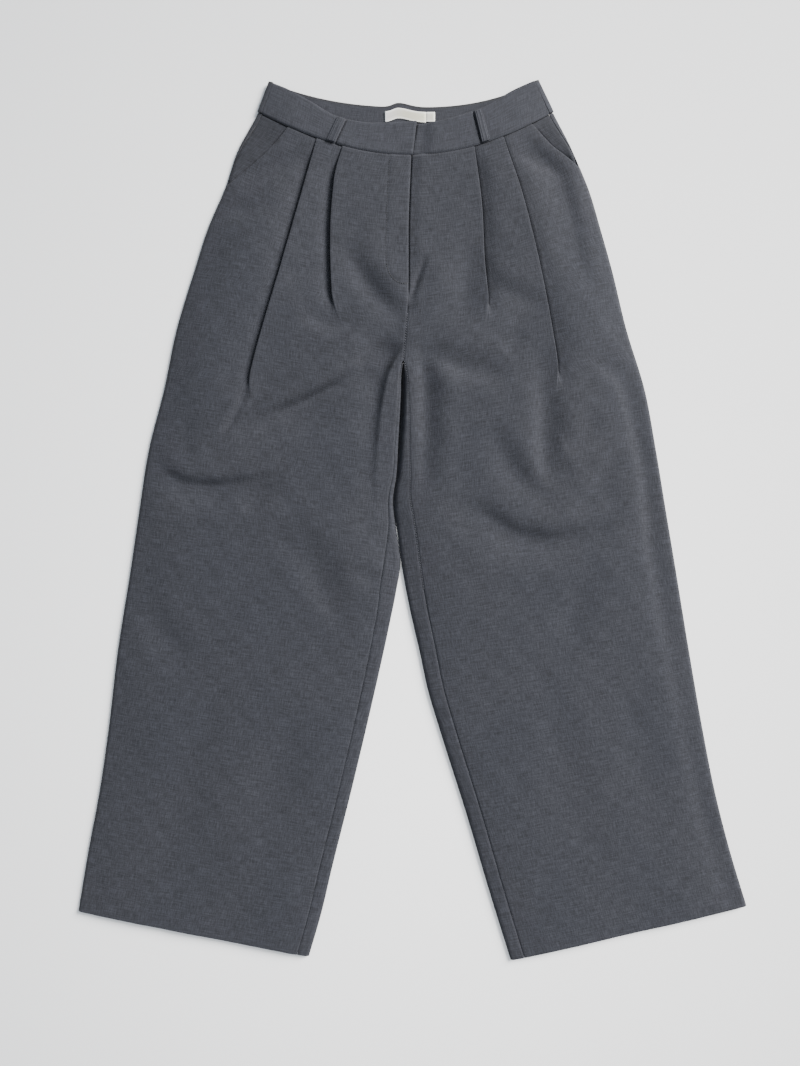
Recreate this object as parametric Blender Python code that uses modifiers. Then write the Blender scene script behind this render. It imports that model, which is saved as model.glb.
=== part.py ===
"""Pleated dress trousers, laid flat on the ground with the front up.

Lengths are in millimetres until a mesh is made. +X is the wearer's left, +Y points to the waist
and +Z is up. The origin is in the middle of the underside. Each half is a tube of cloth pressed
flat: a front layer on top, a back layer on the ground, and a rounded fold along each side.

A row runs across a half, from its inner edge to its side fold. It is named by the y of its inner
end. A place on a row is the distance in from the side fold, or the distance out from the inner
edge. A lap is a place around a fold: above 1 it is on top, below -1 it is underneath, and the
fold's nose lies between.
"""

import bpy
import numpy as np

MM = 0.001

# Walls and gaps
CLOTH = 1.0                  # one layer of suiting
BAND = 1.6                   # the waistband is two layers and a stiffener
SEAM = 0.3                   # gap between pieces that are sewn together
PLY = CLOTH + 0.5            # from the middle of one pleat layer to the next

# Heights of the middle of the cloth
GROUND = CLOTH / 2           # back layer
NOSE = 2.6                   # middle of a fold's nose
NOSE_HALF = 0.6              # half the height of the nose's upright part
NOSE_BULGE = 0.4             # how far the nose rounds out
SHOULDER = 5.0               # front layer just inside a fold
CROWN = ((458, 12.0), (330, 12.5), (198, 13.0), (100, 11.5), (-60, 9.5), (-300, 8.5), (-554, 7.0))
BACK_BAND = 2.5              # back waistband, which lies on its belt loops

# Places along the centre line
WAIST_Y = 458.0              # front waist seam
BACK_WAIST_Y = 480.0         # back waist seam
FRONT_BEND = 2.0             # the front waist seam rises to the side as this power
BACK_BEND = 2.4
FLY_END_Y = 268.0
CROTCH_Y = 198.0
FLY_LAP = 8.0                # the wearer's left front runs this far under the right one
FLY_DROP = CLOTH + 0.4

# Waistband
BAND_TOP_HEIGHT = 10.0       # middle of the front band along its top edge
BAND_SHOULDER = 6.0
BAND_NOSE = 4.4              # middle of its folds' noses
BAND_UPS = (0, 0.25, 0.5, 0.75, 1)
BAND_LAP = 25.0              # the wearer's left end runs this far under the right one
BAND_DROP = BAND + 0.4
BACK_BAND_TOP_Y = 521.5
BACK_BAND_SEAM = 0.8
BACK_HUMP = 5.5              # the back band rises over its centre back loop
BACK_HUMP_X = -8.0
BACK_HUMP_HALF = 22.0
LOOP_SHARE = 0.516           # front belt loops, as a share of the band's width
LOOP_HALF = 5.0
LOOP_UPS = (0.01, 0.2, 0.4, 0.6, 0.8, 0.97)
LOOP_ARCH = 0.5              # a front loop stands this far off the band halfway up
BACK_LOOP_SHARE = 0.55
CENTRE_LOOP_SHARE = 0.03

# Label
LABEL_HEIGHT = 13.0
TAB_HEIGHT = 12.0
LABEL_X = (-35.0, 16.3)
TAB_X = (16.6, 27.8)
LABEL_DOWN = 7.0             # from the band's top edge to the label's

# Rounding of the front layer
EDGE_REACH = 4.0
SIDE_REACH = 70.0
INNER_REACH = 55.0

# Side seam and inseam, as laps round the folds
SIDE_SEAM_TOP = 6.0          # at the waistband it shows on top
SIDE_SEAM_UNDER = -9.0       # down the leg it lies underneath
SIDE_SEAM_TURN = 90.0        # it goes under over this distance
POCKET_LAP = 16.0            # the facing runs this far under the pocket mouth
FACING_GAP = 1.5

ROWS = (458, 440, 420, 402, 386, 372, 345, 318, 296, 278, 268, 248, 222, 198, 180, 160, 136,
        108, 78, 45, 8, -35, -90, -160, -250, -350, -450)
ROW_SPACE = 6.0              # least space round the row where a pocket ends
CENTRE_LINE = ((458, -2.0), (385, -5.0), (268, -6.5), (198, -12.0))

# Each half: sign of its side, hem, and curves as (y, x) or (y, width) rows.
HALVES = {
    "right": {
        "sign": -1,
        "hem_y": -548.0,
        "slant": (56.0, 56.5),
        "side_fold": ((552, -180), (514, -194), (469, -218), (418, -236), (368, -257), (318, -273),
                      (242, -296), (166, -312), (91, -331), (15, -343), (-60, -354), (-161, -370),
                      (-262, -382), (-338, -393), (-413, -407), (-491, -420)),
        "inner_fold": ((198, -12.7), (160, -14.5), (60, -21), (28, -25.5), (-5, -22.5), (-54, -16.4),
                       (-86, -21.4), (-136, -31.5), (-237, -54), (-338, -78), (-438, -103),
                       (-489, -115), (-548, -132)),
        "inseam": ((198, 1.0), (128, 3), (31, 5), (-6, 8), (-48, 19), (-123, 17), (-548, 14)),
        "pocket_mouth": ((495, -155), (473, -173), (452, -195), (433, -219), (420, -236)),
        "band_top": ((0, 501), (0.25, 499), (0.38, 500), (0.55, 508), (0.73, 527), (0.89, 543),
                     (1, 552)),
        "band_top_x": (3.0, -180.0),
        "back_rise": 31.0,
    },
    "left": {
        "sign": 1,
        "hem_y": -554.0,
        "slant": (56.0, 68.0),
        "side_fold": ((555, 157), (514, 176), (469, 199), (418, 220.5), (368, 235.5), (318, 249.5),
                      (242, 268), (166, 291), (91, 305), (15, 317.5), (-60, 330), (-161, 346.5),
                      (-262, 364), (-338, 379), (-413, 398), (-486, 420)),
        "inner_fold": ((198, -11.3), (160, -10.5), (60, -17), (28, -22), (-5, -19.3), (-54, -13.2),
                       (-111, -2.5), (-161, 9), (-212, 20), (-262, 35), (-363, 67), (-464, 97),
                       (-554, 125)),
        "inseam": ((198, 1.0), (140, 6), (72, 12), (15, 20), (-29, 22), (-115, 20), (-554, 16)),
        "pocket_mouth": ((500, 147), (486, 160), (470, 176), (458, 193), (445, 210)),
        "band_top": ((0, 498), (0.14, 500), (0.46, 513), (0.55, 518), (0.79, 540), (1, 555)),
        "band_top_x": (5.0, 157.0),
        "back_rise": 33.0,
    },
}

# Pleats fold towards the side. Each has a path down the front and the y where its fold runs out.
PLEATS = {
    "right": (
        {"end": 290, "path": ((470, -87), (440, -96), (400, -101), (282, -101), (240, -98))},
        {"end": 190, "path": ((474, -121), (330, -162), (181, -204), (120, -216))},
    ),
    "left": (
        {"end": 285, "path": ((472, 76), (394, 86), (326, 89.5), (280, 94), (218, 96))},
        {"end": 200, "path": ((480, 113), (418, 134), (340, 154), (272, 168), (215, 178),
                              (140, 188))},
    ),
}
PLEAT_DEPTH = 16.0
PLEAT_LEAST = 2.8            # depth at which a pleat stops being a fold and opens
PLEAT_TAIL = 45.0            # length over which it opens
PLEAT_RECOVERY = 25.0        # the layer beyond it rises back over this distance

# Largest folds of the front: a trough's path, depth and half width.
FOLDS = (
    {"path": ((-10, 237), (-99, 168), (-212, 113)), "depth": 2.4, "width": 17},
    {"path": ((-320, 67), (-217, 50), (-162, 58)), "depth": 1.8, "width": 15},
    {"path": ((-10, 219), (-45, 165), (-50, 62), (-49, -45)), "depth": 3.0, "width": 14},
    {"path": ((-86, 354), (-39, 276), (-12, 251)), "depth": 1.4, "width": 15},
    {"path": ((25, 212), (72, 189), (120, 186)), "depth": 1.8, "width": 17},
    {"path": ((54, 26), (171, -24), (256, 53)), "depth": 1.8, "width": 19},
    {"path": ((160, 212), (164, 107), (185, 44)), "depth": 2.0, "width": 15},
    {"path": ((200, 428), (214, 333), (234, 282)), "depth": 1.8, "width": 18},
    {"path": ((212, 215), (290, 62), (301, -47), (338, -244)), "depth": 1.4, "width": 14},
)

SUITING = ("suiting", (0.075, 0.08, 0.1), 0.9)
BAND_CLOTH = ("waistband_suiting", (0.085, 0.09, 0.112), 0.9)
LABEL_CLOTH = ("label_satin", (0.5, 0.51, 0.47), 0.6)


# --- Curves and easing -------------------------------------------------------------------------

def smooth_curve(rows):
    """A smooth function through (place, value) rows, straight beyond their ends."""
    places, values = np.array(sorted(rows), float).T
    slopes = np.gradient(values, places)

    def value(at):
        at = np.asarray(at, float)
        low = np.clip(np.searchsorted(places, at) - 1, 0, len(places) - 2)
        span = places[low + 1] - places[low]
        t = np.clip((at - places[low]) / span, 0, 1)
        inside = ((2 * t**3 - 3 * t**2 + 1) * values[low] + (3 * t**2 - 2 * t**3) * values[low + 1]
                  + (t**3 - 2 * t**2 + t) * span * slopes[low]
                  + (t**3 - t**2) * span * slopes[low + 1])
        below, above = np.minimum(at - places[0], 0), np.maximum(at - places[-1], 0)
        return inside + below * slopes[0] + above * slopes[-1]

    return value


def ease(t):
    """0 to 1 with soft ends."""
    t = np.clip(t, 0, 1)
    return t * t * (3 - 2 * t)


def rounded(distance, reach):
    """0 at an edge, 1 from reach inwards, steepest at the edge."""
    t = np.clip(np.asarray(distance, float) / reach, 0, 1)
    return 1 - (1 - t) ** 2


def mix(a, b, t):
    return a + (b - a) * t


crown = smooth_curve(CROWN)
centre_line = smooth_curve(CENTRE_LINE)


def fold_depth(x, y):
    """How far the largest folds press the front layer down at each point."""
    total = np.zeros(np.broadcast(x, y).shape)
    for fold in FOLDS:
        path = np.array(fold["path"], float)
        steps = np.linspace(0, 1, len(path))
        t = np.linspace(0, 1, 25)
        line = [smooth_curve(tuple(zip(steps, path[:, axis])))(t) for axis in (0, 1)]
        away = np.hypot(np.subtract.outer(x, line[0]), np.subtract.outer(y, line[1]))
        nearest = away.argmin(axis=-1)
        fade = np.sin(np.pi * (0.08 + 0.84 * t[nearest])) ** 0.7
        total += fold["depth"] * fade * np.exp(-(away.min(axis=-1) / fold["width"]) ** 2)
    return total


# --- One half of the trousers ------------------------------------------------------------------

class Half:
    """The shape of one half: where its rows run and how high its layers lie."""

    def __init__(self, name):
        data = HALVES[name]
        self.name = name
        self.sign = data["sign"]
        self.hem_y = data["hem_y"]
        self.slant = data["slant"]
        self.side_fold = smooth_curve(data["side_fold"])
        self.inner_fold = smooth_curve(data["inner_fold"])
        self.inseam = smooth_curve(data["inseam"])
        self.mouth = smooth_curve(data["pocket_mouth"])
        self.band_top = smooth_curve(data["band_top"])
        self.band_top_x = data["band_top_x"]
        self.back_rise = data["back_rise"]
        self.pocket_end = next(row for row in np.arange(WAIST_Y, CROTCH_Y, -1.0)
                               if self.mouth_lap(row) is None)
        others = [row for row in ROWS if abs(row - self.pocket_end) > ROW_SPACE]
        self.rows = sorted([*others, self.pocket_end, self.hem_y], reverse=True)
        self.pleats = []
        for pleat in PLEATS[name]:
            path = smooth_curve(pleat["path"])
            rows = np.arange(WAIST_Y, self.hem_y, -5.0)
            last_row = next(row for row in rows
                            if self.pleat_on_path(row, path)[1] < pleat["end"] - PLEAT_TAIL)
            self.pleats.append({"path": path, "end": pleat["end"], "last_row": last_row})

    def side_y(self, row):
        down = (WAIST_Y - row) / (WAIST_Y - self.hem_y)
        return row + mix(*self.slant, down)

    def inner_x(self, row):
        return float(centre_line(row) if row > CROTCH_Y else self.inner_fold(row))

    def width(self, row):
        return abs(float(self.side_fold(self.side_y(row))) - self.inner_x(row))

    def place(self, row, out, back=False):
        """x and y of points at distances out from the inner edge of a row."""
        u = out / self.width(row)
        rise = ease((row - CROTCH_Y) / (WAIST_Y - CROTCH_Y))
        inner_y = row + (BACK_WAIST_Y - WAIST_Y) * rise * back
        bend = 1 + rise * ((BACK_BEND if back else FRONT_BEND) - 1)
        x = self.inner_x(row) + self.sign * out
        y = inner_y + (self.side_y(row) - inner_y) * np.sign(u) * np.abs(u) ** bend
        return x, y

    def fold_share(self, row):
        """0 where the front and back meet at the crotch, 1 where the inner fold is a full one."""
        return float(ease((CROTCH_Y - row) / 65))

    def back_height(self, row):
        """Middle of the back layer, which rises to meet its waistband."""
        return float(mix(GROUND, BACK_BAND - BAND / 2, ease((row - 425) / (WAIST_Y - 425))))

    def top_height(self, row, out, inset=0.0):
        """Middle of the front layer, before its pleats."""
        side, inner = self.width(row) - out, out
        share = self.fold_share(row)
        bulge = rounded(side, SIDE_REACH) * mix(1, rounded(inner, INNER_REACH), share)
        full = SHOULDER + (float(crown(row)) - SHOULDER) * bulge - inset
        x, y = self.place(row, out)
        full = full - fold_depth(x, y) * rounded(side, 30) * mix(1, rounded(inner, 12), share)
        side_nose = NOSE + NOSE_HALF
        inner_nose = mix(float(crown(row)) - inset, NOSE + NOSE_HALF, share)
        full = side_nose + (full - side_nose) * rounded(side, EDGE_REACH)
        if row <= CROTCH_Y:
            full = inner_nose + (full - inner_nose) * rounded(inner, EDGE_REACH)
        return full

    def round_side(self, row, lap, lift=0.0, inset=0.0):
        """Points round the side fold at laps, from on top to underneath."""
        lap = np.asarray(lap, float)
        side = np.maximum(np.abs(lap) - 1, 0)
        nose = np.sqrt(np.clip(1 - lap**2, 0, 1)) * NOSE_BULGE - inset * ease((7 - np.abs(lap)) / 5)
        out = self.width(row) - side
        top = self.top_height(row, out, inset) + lift * rounded(side, EDGE_REACH)
        low = mix(NOSE - NOSE_HALF, self.back_height(row), rounded(side, EDGE_REACH))
        z = np.where(lap > 1, top, np.where(lap < -1, low, NOSE + NOSE_HALF * lap))
        x, y = self.place(row, out)
        return np.stack([x + self.sign * nose, y, z], axis=-1)

    def round_inner(self, row, lap):
        """Points round the inner fold at laps, from on top to underneath."""
        lap = np.asarray(lap, float)
        out = np.maximum(np.abs(lap) - 1, 0)
        share = self.fold_share(row)
        top = self.top_height(row, out)
        head = mix(float(crown(row)), NOSE + NOSE_HALF, share)
        foot = mix(self.back_height(row), NOSE - NOSE_HALF, share)
        low = mix(foot, self.back_height(row), rounded(out, EDGE_REACH))
        z = np.where(lap > 1, top, np.where(lap < -1, low, mix(foot, head, (lap + 1) / 2)))
        x, y = self.place(row, out)
        nose = np.sqrt(np.clip(1 - lap**2, 0, 1)) * NOSE_BULGE * share
        return np.stack([x - self.sign * nose, y, z], axis=-1)

    def side_seam(self, row):
        """Lap of the side seam: on top at the waist, on the nose where the pocket ends, then under."""
        above = (row - self.pocket_end) / (WAIST_Y - self.pocket_end)
        below = (self.pocket_end - row) / SIDE_SEAM_TURN
        return float(SIDE_SEAM_TOP * ease(above) + SIDE_SEAM_UNDER * ease(below))

    def mouth_lap(self, row):
        """Lap of the pocket mouth on a row, or None below the pocket."""
        side = np.arange(0, 90, 0.25)
        x, y = self.place(row, self.width(row) - side)
        beyond = (x - self.mouth(y)) * self.sign
        if beyond[0] <= 0:
            return None
        return float(np.interp(0, -beyond, side)) + 1

    def pleat_on_path(self, row, path):
        """Distance out, on a row, of the path of a pleat's edge, and the y there."""
        out = 0.4 * self.width(row)
        for _ in range(12):
            _, y = self.place(row, out)
            out = abs(float(path(y)) - self.inner_x(row))
        return out, float(y)

    def pleat_at(self, row, pleat):
        """As pleat_on_path, but keeping its share of the width below the path's end."""
        out, y = self.pleat_on_path(max(row, pleat["last_row"]), pleat["path"])
        if row < pleat["last_row"]:
            out *= self.width(row) / self.width(pleat["last_row"])
            _, y = self.place(row, out)
        return out, float(y)


# --- Surfaces ----------------------------------------------------------------------------------

def between(a, b, count):
    """count evenly spaced values after a and before b."""
    return list(np.linspace(a, b, count + 2)[1:-1])


PLEAT_DROPS = np.array([0, 0, 0.5, 1, 1, 1.5, 2, 2])


def pleat_section(half, row, pleat):
    """Distances out and drops of the eight points of a pleat's S on a row."""
    out, y = half.pleat_at(row, pleat)
    end = pleat["end"]
    deep = np.clip((y - end) / (470 - end), 0, 1) ** 0.8
    depth = mix(PLEAT_LEAST, PLEAT_DEPTH, deep)
    opened = float(ease((end - y) / PLEAT_TAIL))
    half_span = mix(11, 28, float(ease((end - y) / 160)))
    shut = np.array([-depth - 5, -1.2, 0, -1.2, 1.2 - depth, -depth, 1.2 - depth, 3])
    flat = np.linspace(-half_span, half_span, len(shut))
    return out + mix(shut, flat, opened), PLEAT_DROPS * PLY * (1 - opened)


SIDE_LAPS = np.array([23, 14, 8, 4, 1, -1, -4, -9])     # columns round the side fold
LEAST_STEP = 0.4


def seam_gap(lap):
    """Half the gap at the side seam, as a lap. A lap on the nose is a shorter step."""
    return SEAM / 2 * (1 + max(0, 1.6 - abs(lap)))


def laps_to(end_lap):
    """Laps of the front's columns round the side fold, stopping at end_lap."""
    steps = np.arange(len(SIDE_LAPS))[::-1] * LEAST_STEP
    return np.maximum(SIDE_LAPS, end_lap + steps)


def laps_from(start_lap):
    """Laps of the back's columns round the side fold, starting at start_lap."""
    return np.minimum([23, 1, 0, -1, -5, -23], start_lap - np.arange(6) * LEAST_STEP)


def fall_beyond(out, folded):
    """How far the layer lies down past the pleats it comes out of."""
    total = np.zeros(len(out))
    for places, drops in folded:
        past = out - places[-1]
        total += np.where(past > 0, drops[-1] * np.exp(-np.maximum(past, 0) / PLEAT_RECOVERY), 0)
    return total


def fly_state(row):
    """How far the wearer's left front runs under the right, and how much lower it lies."""
    lap = FLY_LAP * float(ease((row - FLY_END_Y) / 10))
    drop = FLY_DROP * float(ease((row - FLY_END_Y + 18) / 18))
    return lap, drop


def front_row(half, row):
    """One row of a front panel, from the centre front or inseam to the pocket or side seam."""
    lap, drop = fly_state(row) if half.name == "left" else (0, 0)
    start = float(half.inseam(row)) if row <= CROTCH_Y else -lap
    start += SEAM / 2
    mouth = half.mouth_lap(row)
    end_lap = half.side_seam(row) if mouth is None else mouth
    end_lap += seam_gap(end_lap)
    laps = laps_to(end_lap)
    folded = [pleat_section(half, row, pleat) for pleat in half.pleats]
    (inner, inner_drop), (outer, outer_drop) = folded
    last = half.width(row) - (laps[0] - 1)
    inside = [start, start + 8, start + 20, *between(start + 20, inner[0], 1)]
    out = np.array([*inside, *inner, *between(inner[-1], outer[0], 1), *outer,
                    *between(outer[-1], last, 1)])
    drops = fall_beyond(out, folded)
    first = len(inside)
    second = first + len(inner) + 1
    drops[first:first + len(inner)] += inner_drop
    drops[second:second + len(outer)] += outer_drop
    z = half.top_height(row, out) - drops - drop * (1 - ease((out - 1) / 14))
    x, y = half.place(row, out)
    side_out = half.width(row) - np.maximum(laps - 1, 0)
    side = half.round_side(row, laps, lift=-fall_beyond(side_out, folded))
    return np.concatenate([np.stack([x, y, z], axis=-1), side])


def front_panel(half):
    return [front_row(half, row) for row in half.rows]


def back_row(half, row):
    """One row of a back panel: the underside, then the wrap round the inner leg below the crotch."""
    seam = half.side_seam(row)
    side = half.round_side(row, laps_from(seam - seam_gap(seam)))
    shared_lap = -mix(1.2, 4, half.fold_share(row))
    inner_out = SEAM / 2 if row > CROTCH_Y else -shared_lap - 1
    out = np.array(between(half.width(row) - 22, inner_out, 3) + [inner_out])
    x, y = half.place(row, out, back=True)
    z = np.full(len(out), half.back_height(row))
    under = np.stack([x, y, z], axis=-1)
    if row > CROTCH_Y:
        return np.concatenate([side, under]), None
    under[-1] = half.round_inner(row, [shared_lap])[0]
    seam_lap = float(half.inseam(row)) + 1 - SEAM / 2
    wrap = half.round_inner(row, [-1, 0, 1, mix(1, seam_lap, 0.35), seam_lap])
    return np.concatenate([side, under]), wrap


def back_panel(half):
    """All rows of a back panel. Rows above the crotch have no wrap, so their last places are None."""
    grid = []
    for row in half.rows:
        under, wrap = back_row(half, row)
        grid.append(list(under) + (list(wrap) if wrap is not None else [None] * 5))
    return grid


def pocket_facing(half):
    """The cloth behind the pocket mouth, from under the front panel to the side seam."""
    inset = CLOTH + FACING_GAP
    grid = []
    for row in half.rows:
        if row < half.pocket_end:
            break
        mouth = half.mouth_lap(row) or half.side_seam(row)
        seam = half.side_seam(row)
        laps = mix(mouth + POCKET_LAP, seam + seam_gap(seam), np.linspace(0, 1, 7))
        folded = [pleat_section(half, row, pleat) for pleat in half.pleats]
        out = half.width(row) - np.maximum(laps - 1, 0)
        grid.append(half.round_side(row, laps, lift=-fall_beyond(out, folded), inset=inset))
    return grid


# --- Waistband ---------------------------------------------------------------------------------

def band_point(half, up, out_share, lap=None, back=False, drop=0.0):
    """A point of the waistband: up from its seam to its top edge, across by share or by lap."""
    seam_x = float(half.side_fold(half.side_y(WAIST_Y)))
    inner = mix(half.inner_x(WAIST_Y), half.band_top_x[0], up)
    outer = mix(seam_x, half.band_top_x[1], up)
    width = abs(outer - inner)
    if lap is not None:
        out_share = 1 - max(abs(lap) - 1, 0) / width
    side = (1 - out_share) * width
    bend = abs(out_share) ** FRONT_BEND
    side_y = half.side_y(WAIST_Y)
    if back:
        bend = abs(out_share) ** BACK_BEND
        low = BACK_WAIST_Y + (side_y - BACK_WAIST_Y) * bend
        high = BACK_BAND_TOP_Y + half.back_rise * bend
    else:
        low = WAIST_Y + (side_y - WAIST_Y) * bend
        high = float(half.band_top(max(out_share, 0)))
    x = mix(inner, outer, out_share)
    if back:
        high += BACK_HUMP * np.exp(-(((x - BACK_HUMP_X) / BACK_HUMP_HALF) ** 4))
    y = mix(low + (BACK_BAND_SEAM if back else SEAM), high, up)
    middle = mix(float(crown(WAIST_Y)), BAND_TOP_HEIGHT, up)
    height = mix(BAND_SHOULDER, middle, float(rounded(side, SIDE_REACH)))
    top = mix(BAND_NOSE + NOSE_HALF, height, float(rounded(side, EDGE_REACH))) - drop
    low_z = mix(BAND_NOSE - NOSE_HALF, BACK_BAND, float(rounded(side, EDGE_REACH)))
    if lap is not None and abs(lap) < 1:
        z = BAND_NOSE + NOSE_HALF * lap
        x += half.sign * NOSE_BULGE * np.sqrt(1 - lap * lap)
    elif back and (lap is None or lap < 0):
        z = low_z
    else:
        z = top
    return np.array([x, y, z])


def front_band(half):
    """Front waistband of one half. The right end lies on top of the left one at the centre front."""
    edge = SIDE_SEAM_TOP + SEAM / 2
    grid = []
    for up in BAND_UPS:
        row = []
        if half.name == "left":
            width = abs(half.band_top_x[1] - half.band_top_x[0])
            for reach in (-BAND_LAP, -BAND_LAP / 2, 0, 8):
                row.append(band_point(half, up, reach / width, drop=BAND_DROP))
            row += [band_point(half, up, share) for share in (0.14, 0.3, 0.48, 0.66, 0.8)]
        else:
            row += [band_point(half, up, share) for share in (-0.01, 0.12, 0.3, 0.48, 0.66, 0.8)]
        row += [band_point(half, up, None, lap=lap) for lap in (edge + 16, edge + 5, edge)]
        grid.append(row)
    return grid


def back_band(right, left):
    """Back waistband, from the top of one side fold, underneath, to the top of the other."""
    edge = SIDE_SEAM_TOP - SEAM / 2
    laps = (edge, edge / 2 + 0.5, 1, 0, -1, -5, -14)
    shares = (0.75, 0.5, 0.28, 0.14)
    grid = []
    for up in BAND_UPS:
        sides = [[band_point(half, up, None, lap=lap, back=True) for lap in laps]
                 + [band_point(half, up, share, back=True) for share in shares]
                 for half in (right, left)]
        middle = band_point(right, up, 0, back=True)
        grid.append(sides[0] + [middle] + sides[1][::-1])
    return grid


def front_loop(half):
    """A belt loop on the front waistband, made from the band's points, moved out."""
    half_share = LOOP_HALF / half.width(WAIST_Y)
    grid = []
    for up in LOOP_UPS:
        lift = BAND / 2 + SEAM + CLOTH / 2 + LOOP_ARCH * np.sin(np.pi * up)
        grid.append([band_point(half, up, LOOP_SHARE + across * half_share) + [0, 0, lift]
                     for across in (-1, 0, 1)])
    return grid


def back_loop(half, share):
    """A belt loop under the back waistband: a flat strip on the ground."""
    low = band_point(half, LOOP_UPS[0], share, back=True)
    high = band_point(half, LOOP_UPS[-1], share, back=True)
    return [[np.array([mix(low[0], high[0], t) + across * LOOP_HALF, mix(low[1], high[1], t), GROUND])
             for across in (-1, 1)] for t in (0, 0.5, 1)]


# --- Label -------------------------------------------------------------------------------------

def label(x_range, right, left, height):
    """A strip of ribbon inside the back waistband, made from the band's points, moved out."""
    grid = []
    for down in np.linspace(0, 1, 3):
        row = []
        for x in np.linspace(*x_range, 7):
            half = right if x < 3 else left
            inner, outer = half.band_top_x
            share = (x - inner) / (outer - inner)
            top = band_point(half, 1, share, back=True)
            row.append(np.array([x, top[1] - LABEL_DOWN - down * height,
                                 BACK_BAND + BAND / 2 + SEAM + CLOTH / 2]))
        grid.append(row)
    return grid


# --- Meshes ------------------------------------------------------------------------------------

def make_material(name, colour, roughness):
    material = bpy.data.materials.new(name)
    material.use_nodes = True
    shader = material.node_tree.nodes["Principled BSDF"]
    shader.inputs["Base Color"].default_value = (*colour, 1)
    shader.inputs["Roughness"].default_value = roughness
    shader.inputs["Metallic"].default_value = 0
    return material


def make_sheet(name, grid, wall, material, collection):
    """Lofts a grid of rows into an open surface and gives it a wall. A None place has no cloth."""
    points, index = [], {}
    for j, row in enumerate(grid):
        for i, point in enumerate(row):
            if point is not None:
                index[j, i] = len(points)
                points.append(tuple(float(v) * MM for v in point))
    faces = []
    for j, i in index:
        corners = ((j, i), (j, i + 1), (j + 1, i + 1), (j + 1, i))
        if all(corner in index for corner in corners):
            faces.append([index[corner] for corner in corners])
    mesh = bpy.data.meshes.new(name)
    mesh.from_pydata(points, [], faces)
    mesh.materials.append(material)
    mesh.shade_smooth()
    sheet = bpy.data.objects.new(name, mesh)
    collection.objects.link(sheet)
    solidify = sheet.modifiers.new("wall", "SOLIDIFY")
    solidify.thickness = wall * MM
    solidify.offset = 0
    return sheet


def clear_scene():
    for item in list(bpy.data.objects):
        bpy.data.objects.remove(item)


def build():
    clear_scene()
    collection = bpy.data.collections.new("pleated_trousers")
    bpy.context.scene.collection.children.link(collection)
    suiting, band_cloth, ribbon = (make_material(*look)
                                   for look in (SUITING, BAND_CLOTH, LABEL_CLOTH))
    halves = {name: Half(name) for name in HALVES}
    right, left = halves["right"], halves["left"]
    for name, half in halves.items():
        make_sheet(f"front_{name}", front_panel(half), CLOTH, suiting, collection)
        make_sheet(f"back_{name}", back_panel(half), CLOTH, suiting, collection)
        make_sheet(f"pocket_facing_{name}", pocket_facing(half), CLOTH, suiting, collection)
        make_sheet(f"waistband_front_{name}", front_band(half), BAND, band_cloth, collection)
        make_sheet(f"belt_loop_front_{name}", front_loop(half), CLOTH, band_cloth, collection)
        make_sheet(f"belt_loop_back_{name}", back_loop(half, BACK_LOOP_SHARE), CLOTH, band_cloth, collection)
    make_sheet("waistband_back", back_band(right, left), BAND, band_cloth, collection)
    make_sheet("belt_loop_centre_back", back_loop(right, CENTRE_LOOP_SHARE), CLOTH, band_cloth, collection)
    make_sheet("label", label(LABEL_X, right, left, LABEL_HEIGHT), CLOTH, ribbon, collection)
    make_sheet("size_tab", label(TAB_X, right, left, TAB_HEIGHT), CLOTH, ribbon, collection)


build()
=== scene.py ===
"""Looks of the pleated dress trousers: cloth shells, creases, seams, stitches, label and studio.

Lengths are in millimetres until a mesh is made. +X is the wearer's left, +Y points to the waist
and +Z is up. Each cloth piece is a thin shell on the form of its CAD solid, so the curves and
names of a half are those of the part. Only the rise of the back band is narrower here, and the
front loops lean. A row runs across a half from its inner edge to its side fold, and is named by
the y of its inner end. A lap is a place round a fold: above 1 it is on top, below -1 it is
underneath, and the fold's nose lies between. A share is a part of a width, from 0 to 1.
"""

import bpy
import numpy as np
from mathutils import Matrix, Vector


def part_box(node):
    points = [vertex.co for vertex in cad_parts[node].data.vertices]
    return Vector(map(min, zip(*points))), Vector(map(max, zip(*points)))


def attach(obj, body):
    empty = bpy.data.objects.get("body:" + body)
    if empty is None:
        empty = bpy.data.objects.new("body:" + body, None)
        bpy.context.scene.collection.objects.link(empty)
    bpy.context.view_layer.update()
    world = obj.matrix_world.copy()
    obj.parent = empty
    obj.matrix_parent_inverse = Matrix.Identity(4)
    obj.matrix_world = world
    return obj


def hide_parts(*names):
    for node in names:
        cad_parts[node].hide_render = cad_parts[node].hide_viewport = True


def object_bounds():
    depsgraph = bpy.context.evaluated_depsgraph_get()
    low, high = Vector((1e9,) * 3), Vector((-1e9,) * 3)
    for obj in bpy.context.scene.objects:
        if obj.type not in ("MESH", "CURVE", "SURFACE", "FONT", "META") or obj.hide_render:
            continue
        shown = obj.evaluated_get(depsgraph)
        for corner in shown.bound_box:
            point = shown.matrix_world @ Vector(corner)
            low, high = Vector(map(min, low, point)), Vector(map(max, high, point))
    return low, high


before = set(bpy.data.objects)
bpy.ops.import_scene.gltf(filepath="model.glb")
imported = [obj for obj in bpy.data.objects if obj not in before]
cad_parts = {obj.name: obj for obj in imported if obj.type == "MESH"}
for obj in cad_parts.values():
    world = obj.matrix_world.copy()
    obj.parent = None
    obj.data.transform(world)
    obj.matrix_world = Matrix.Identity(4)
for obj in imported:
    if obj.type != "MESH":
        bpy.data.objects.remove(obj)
cad_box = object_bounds()

MM = 0.001

# Walls and gaps
SHELL = 0.7                  # one layer of suiting
BAND_WALL = 1.5              # the waistband is two layers and a stiffener
LOOP_WALL = 1.0
RIBBON_WALL = 0.5
SEAM = 0.3                   # gap between pieces that are sewn together
PLY = 1.4                    # from the middle of one pleat layer to the next

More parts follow.
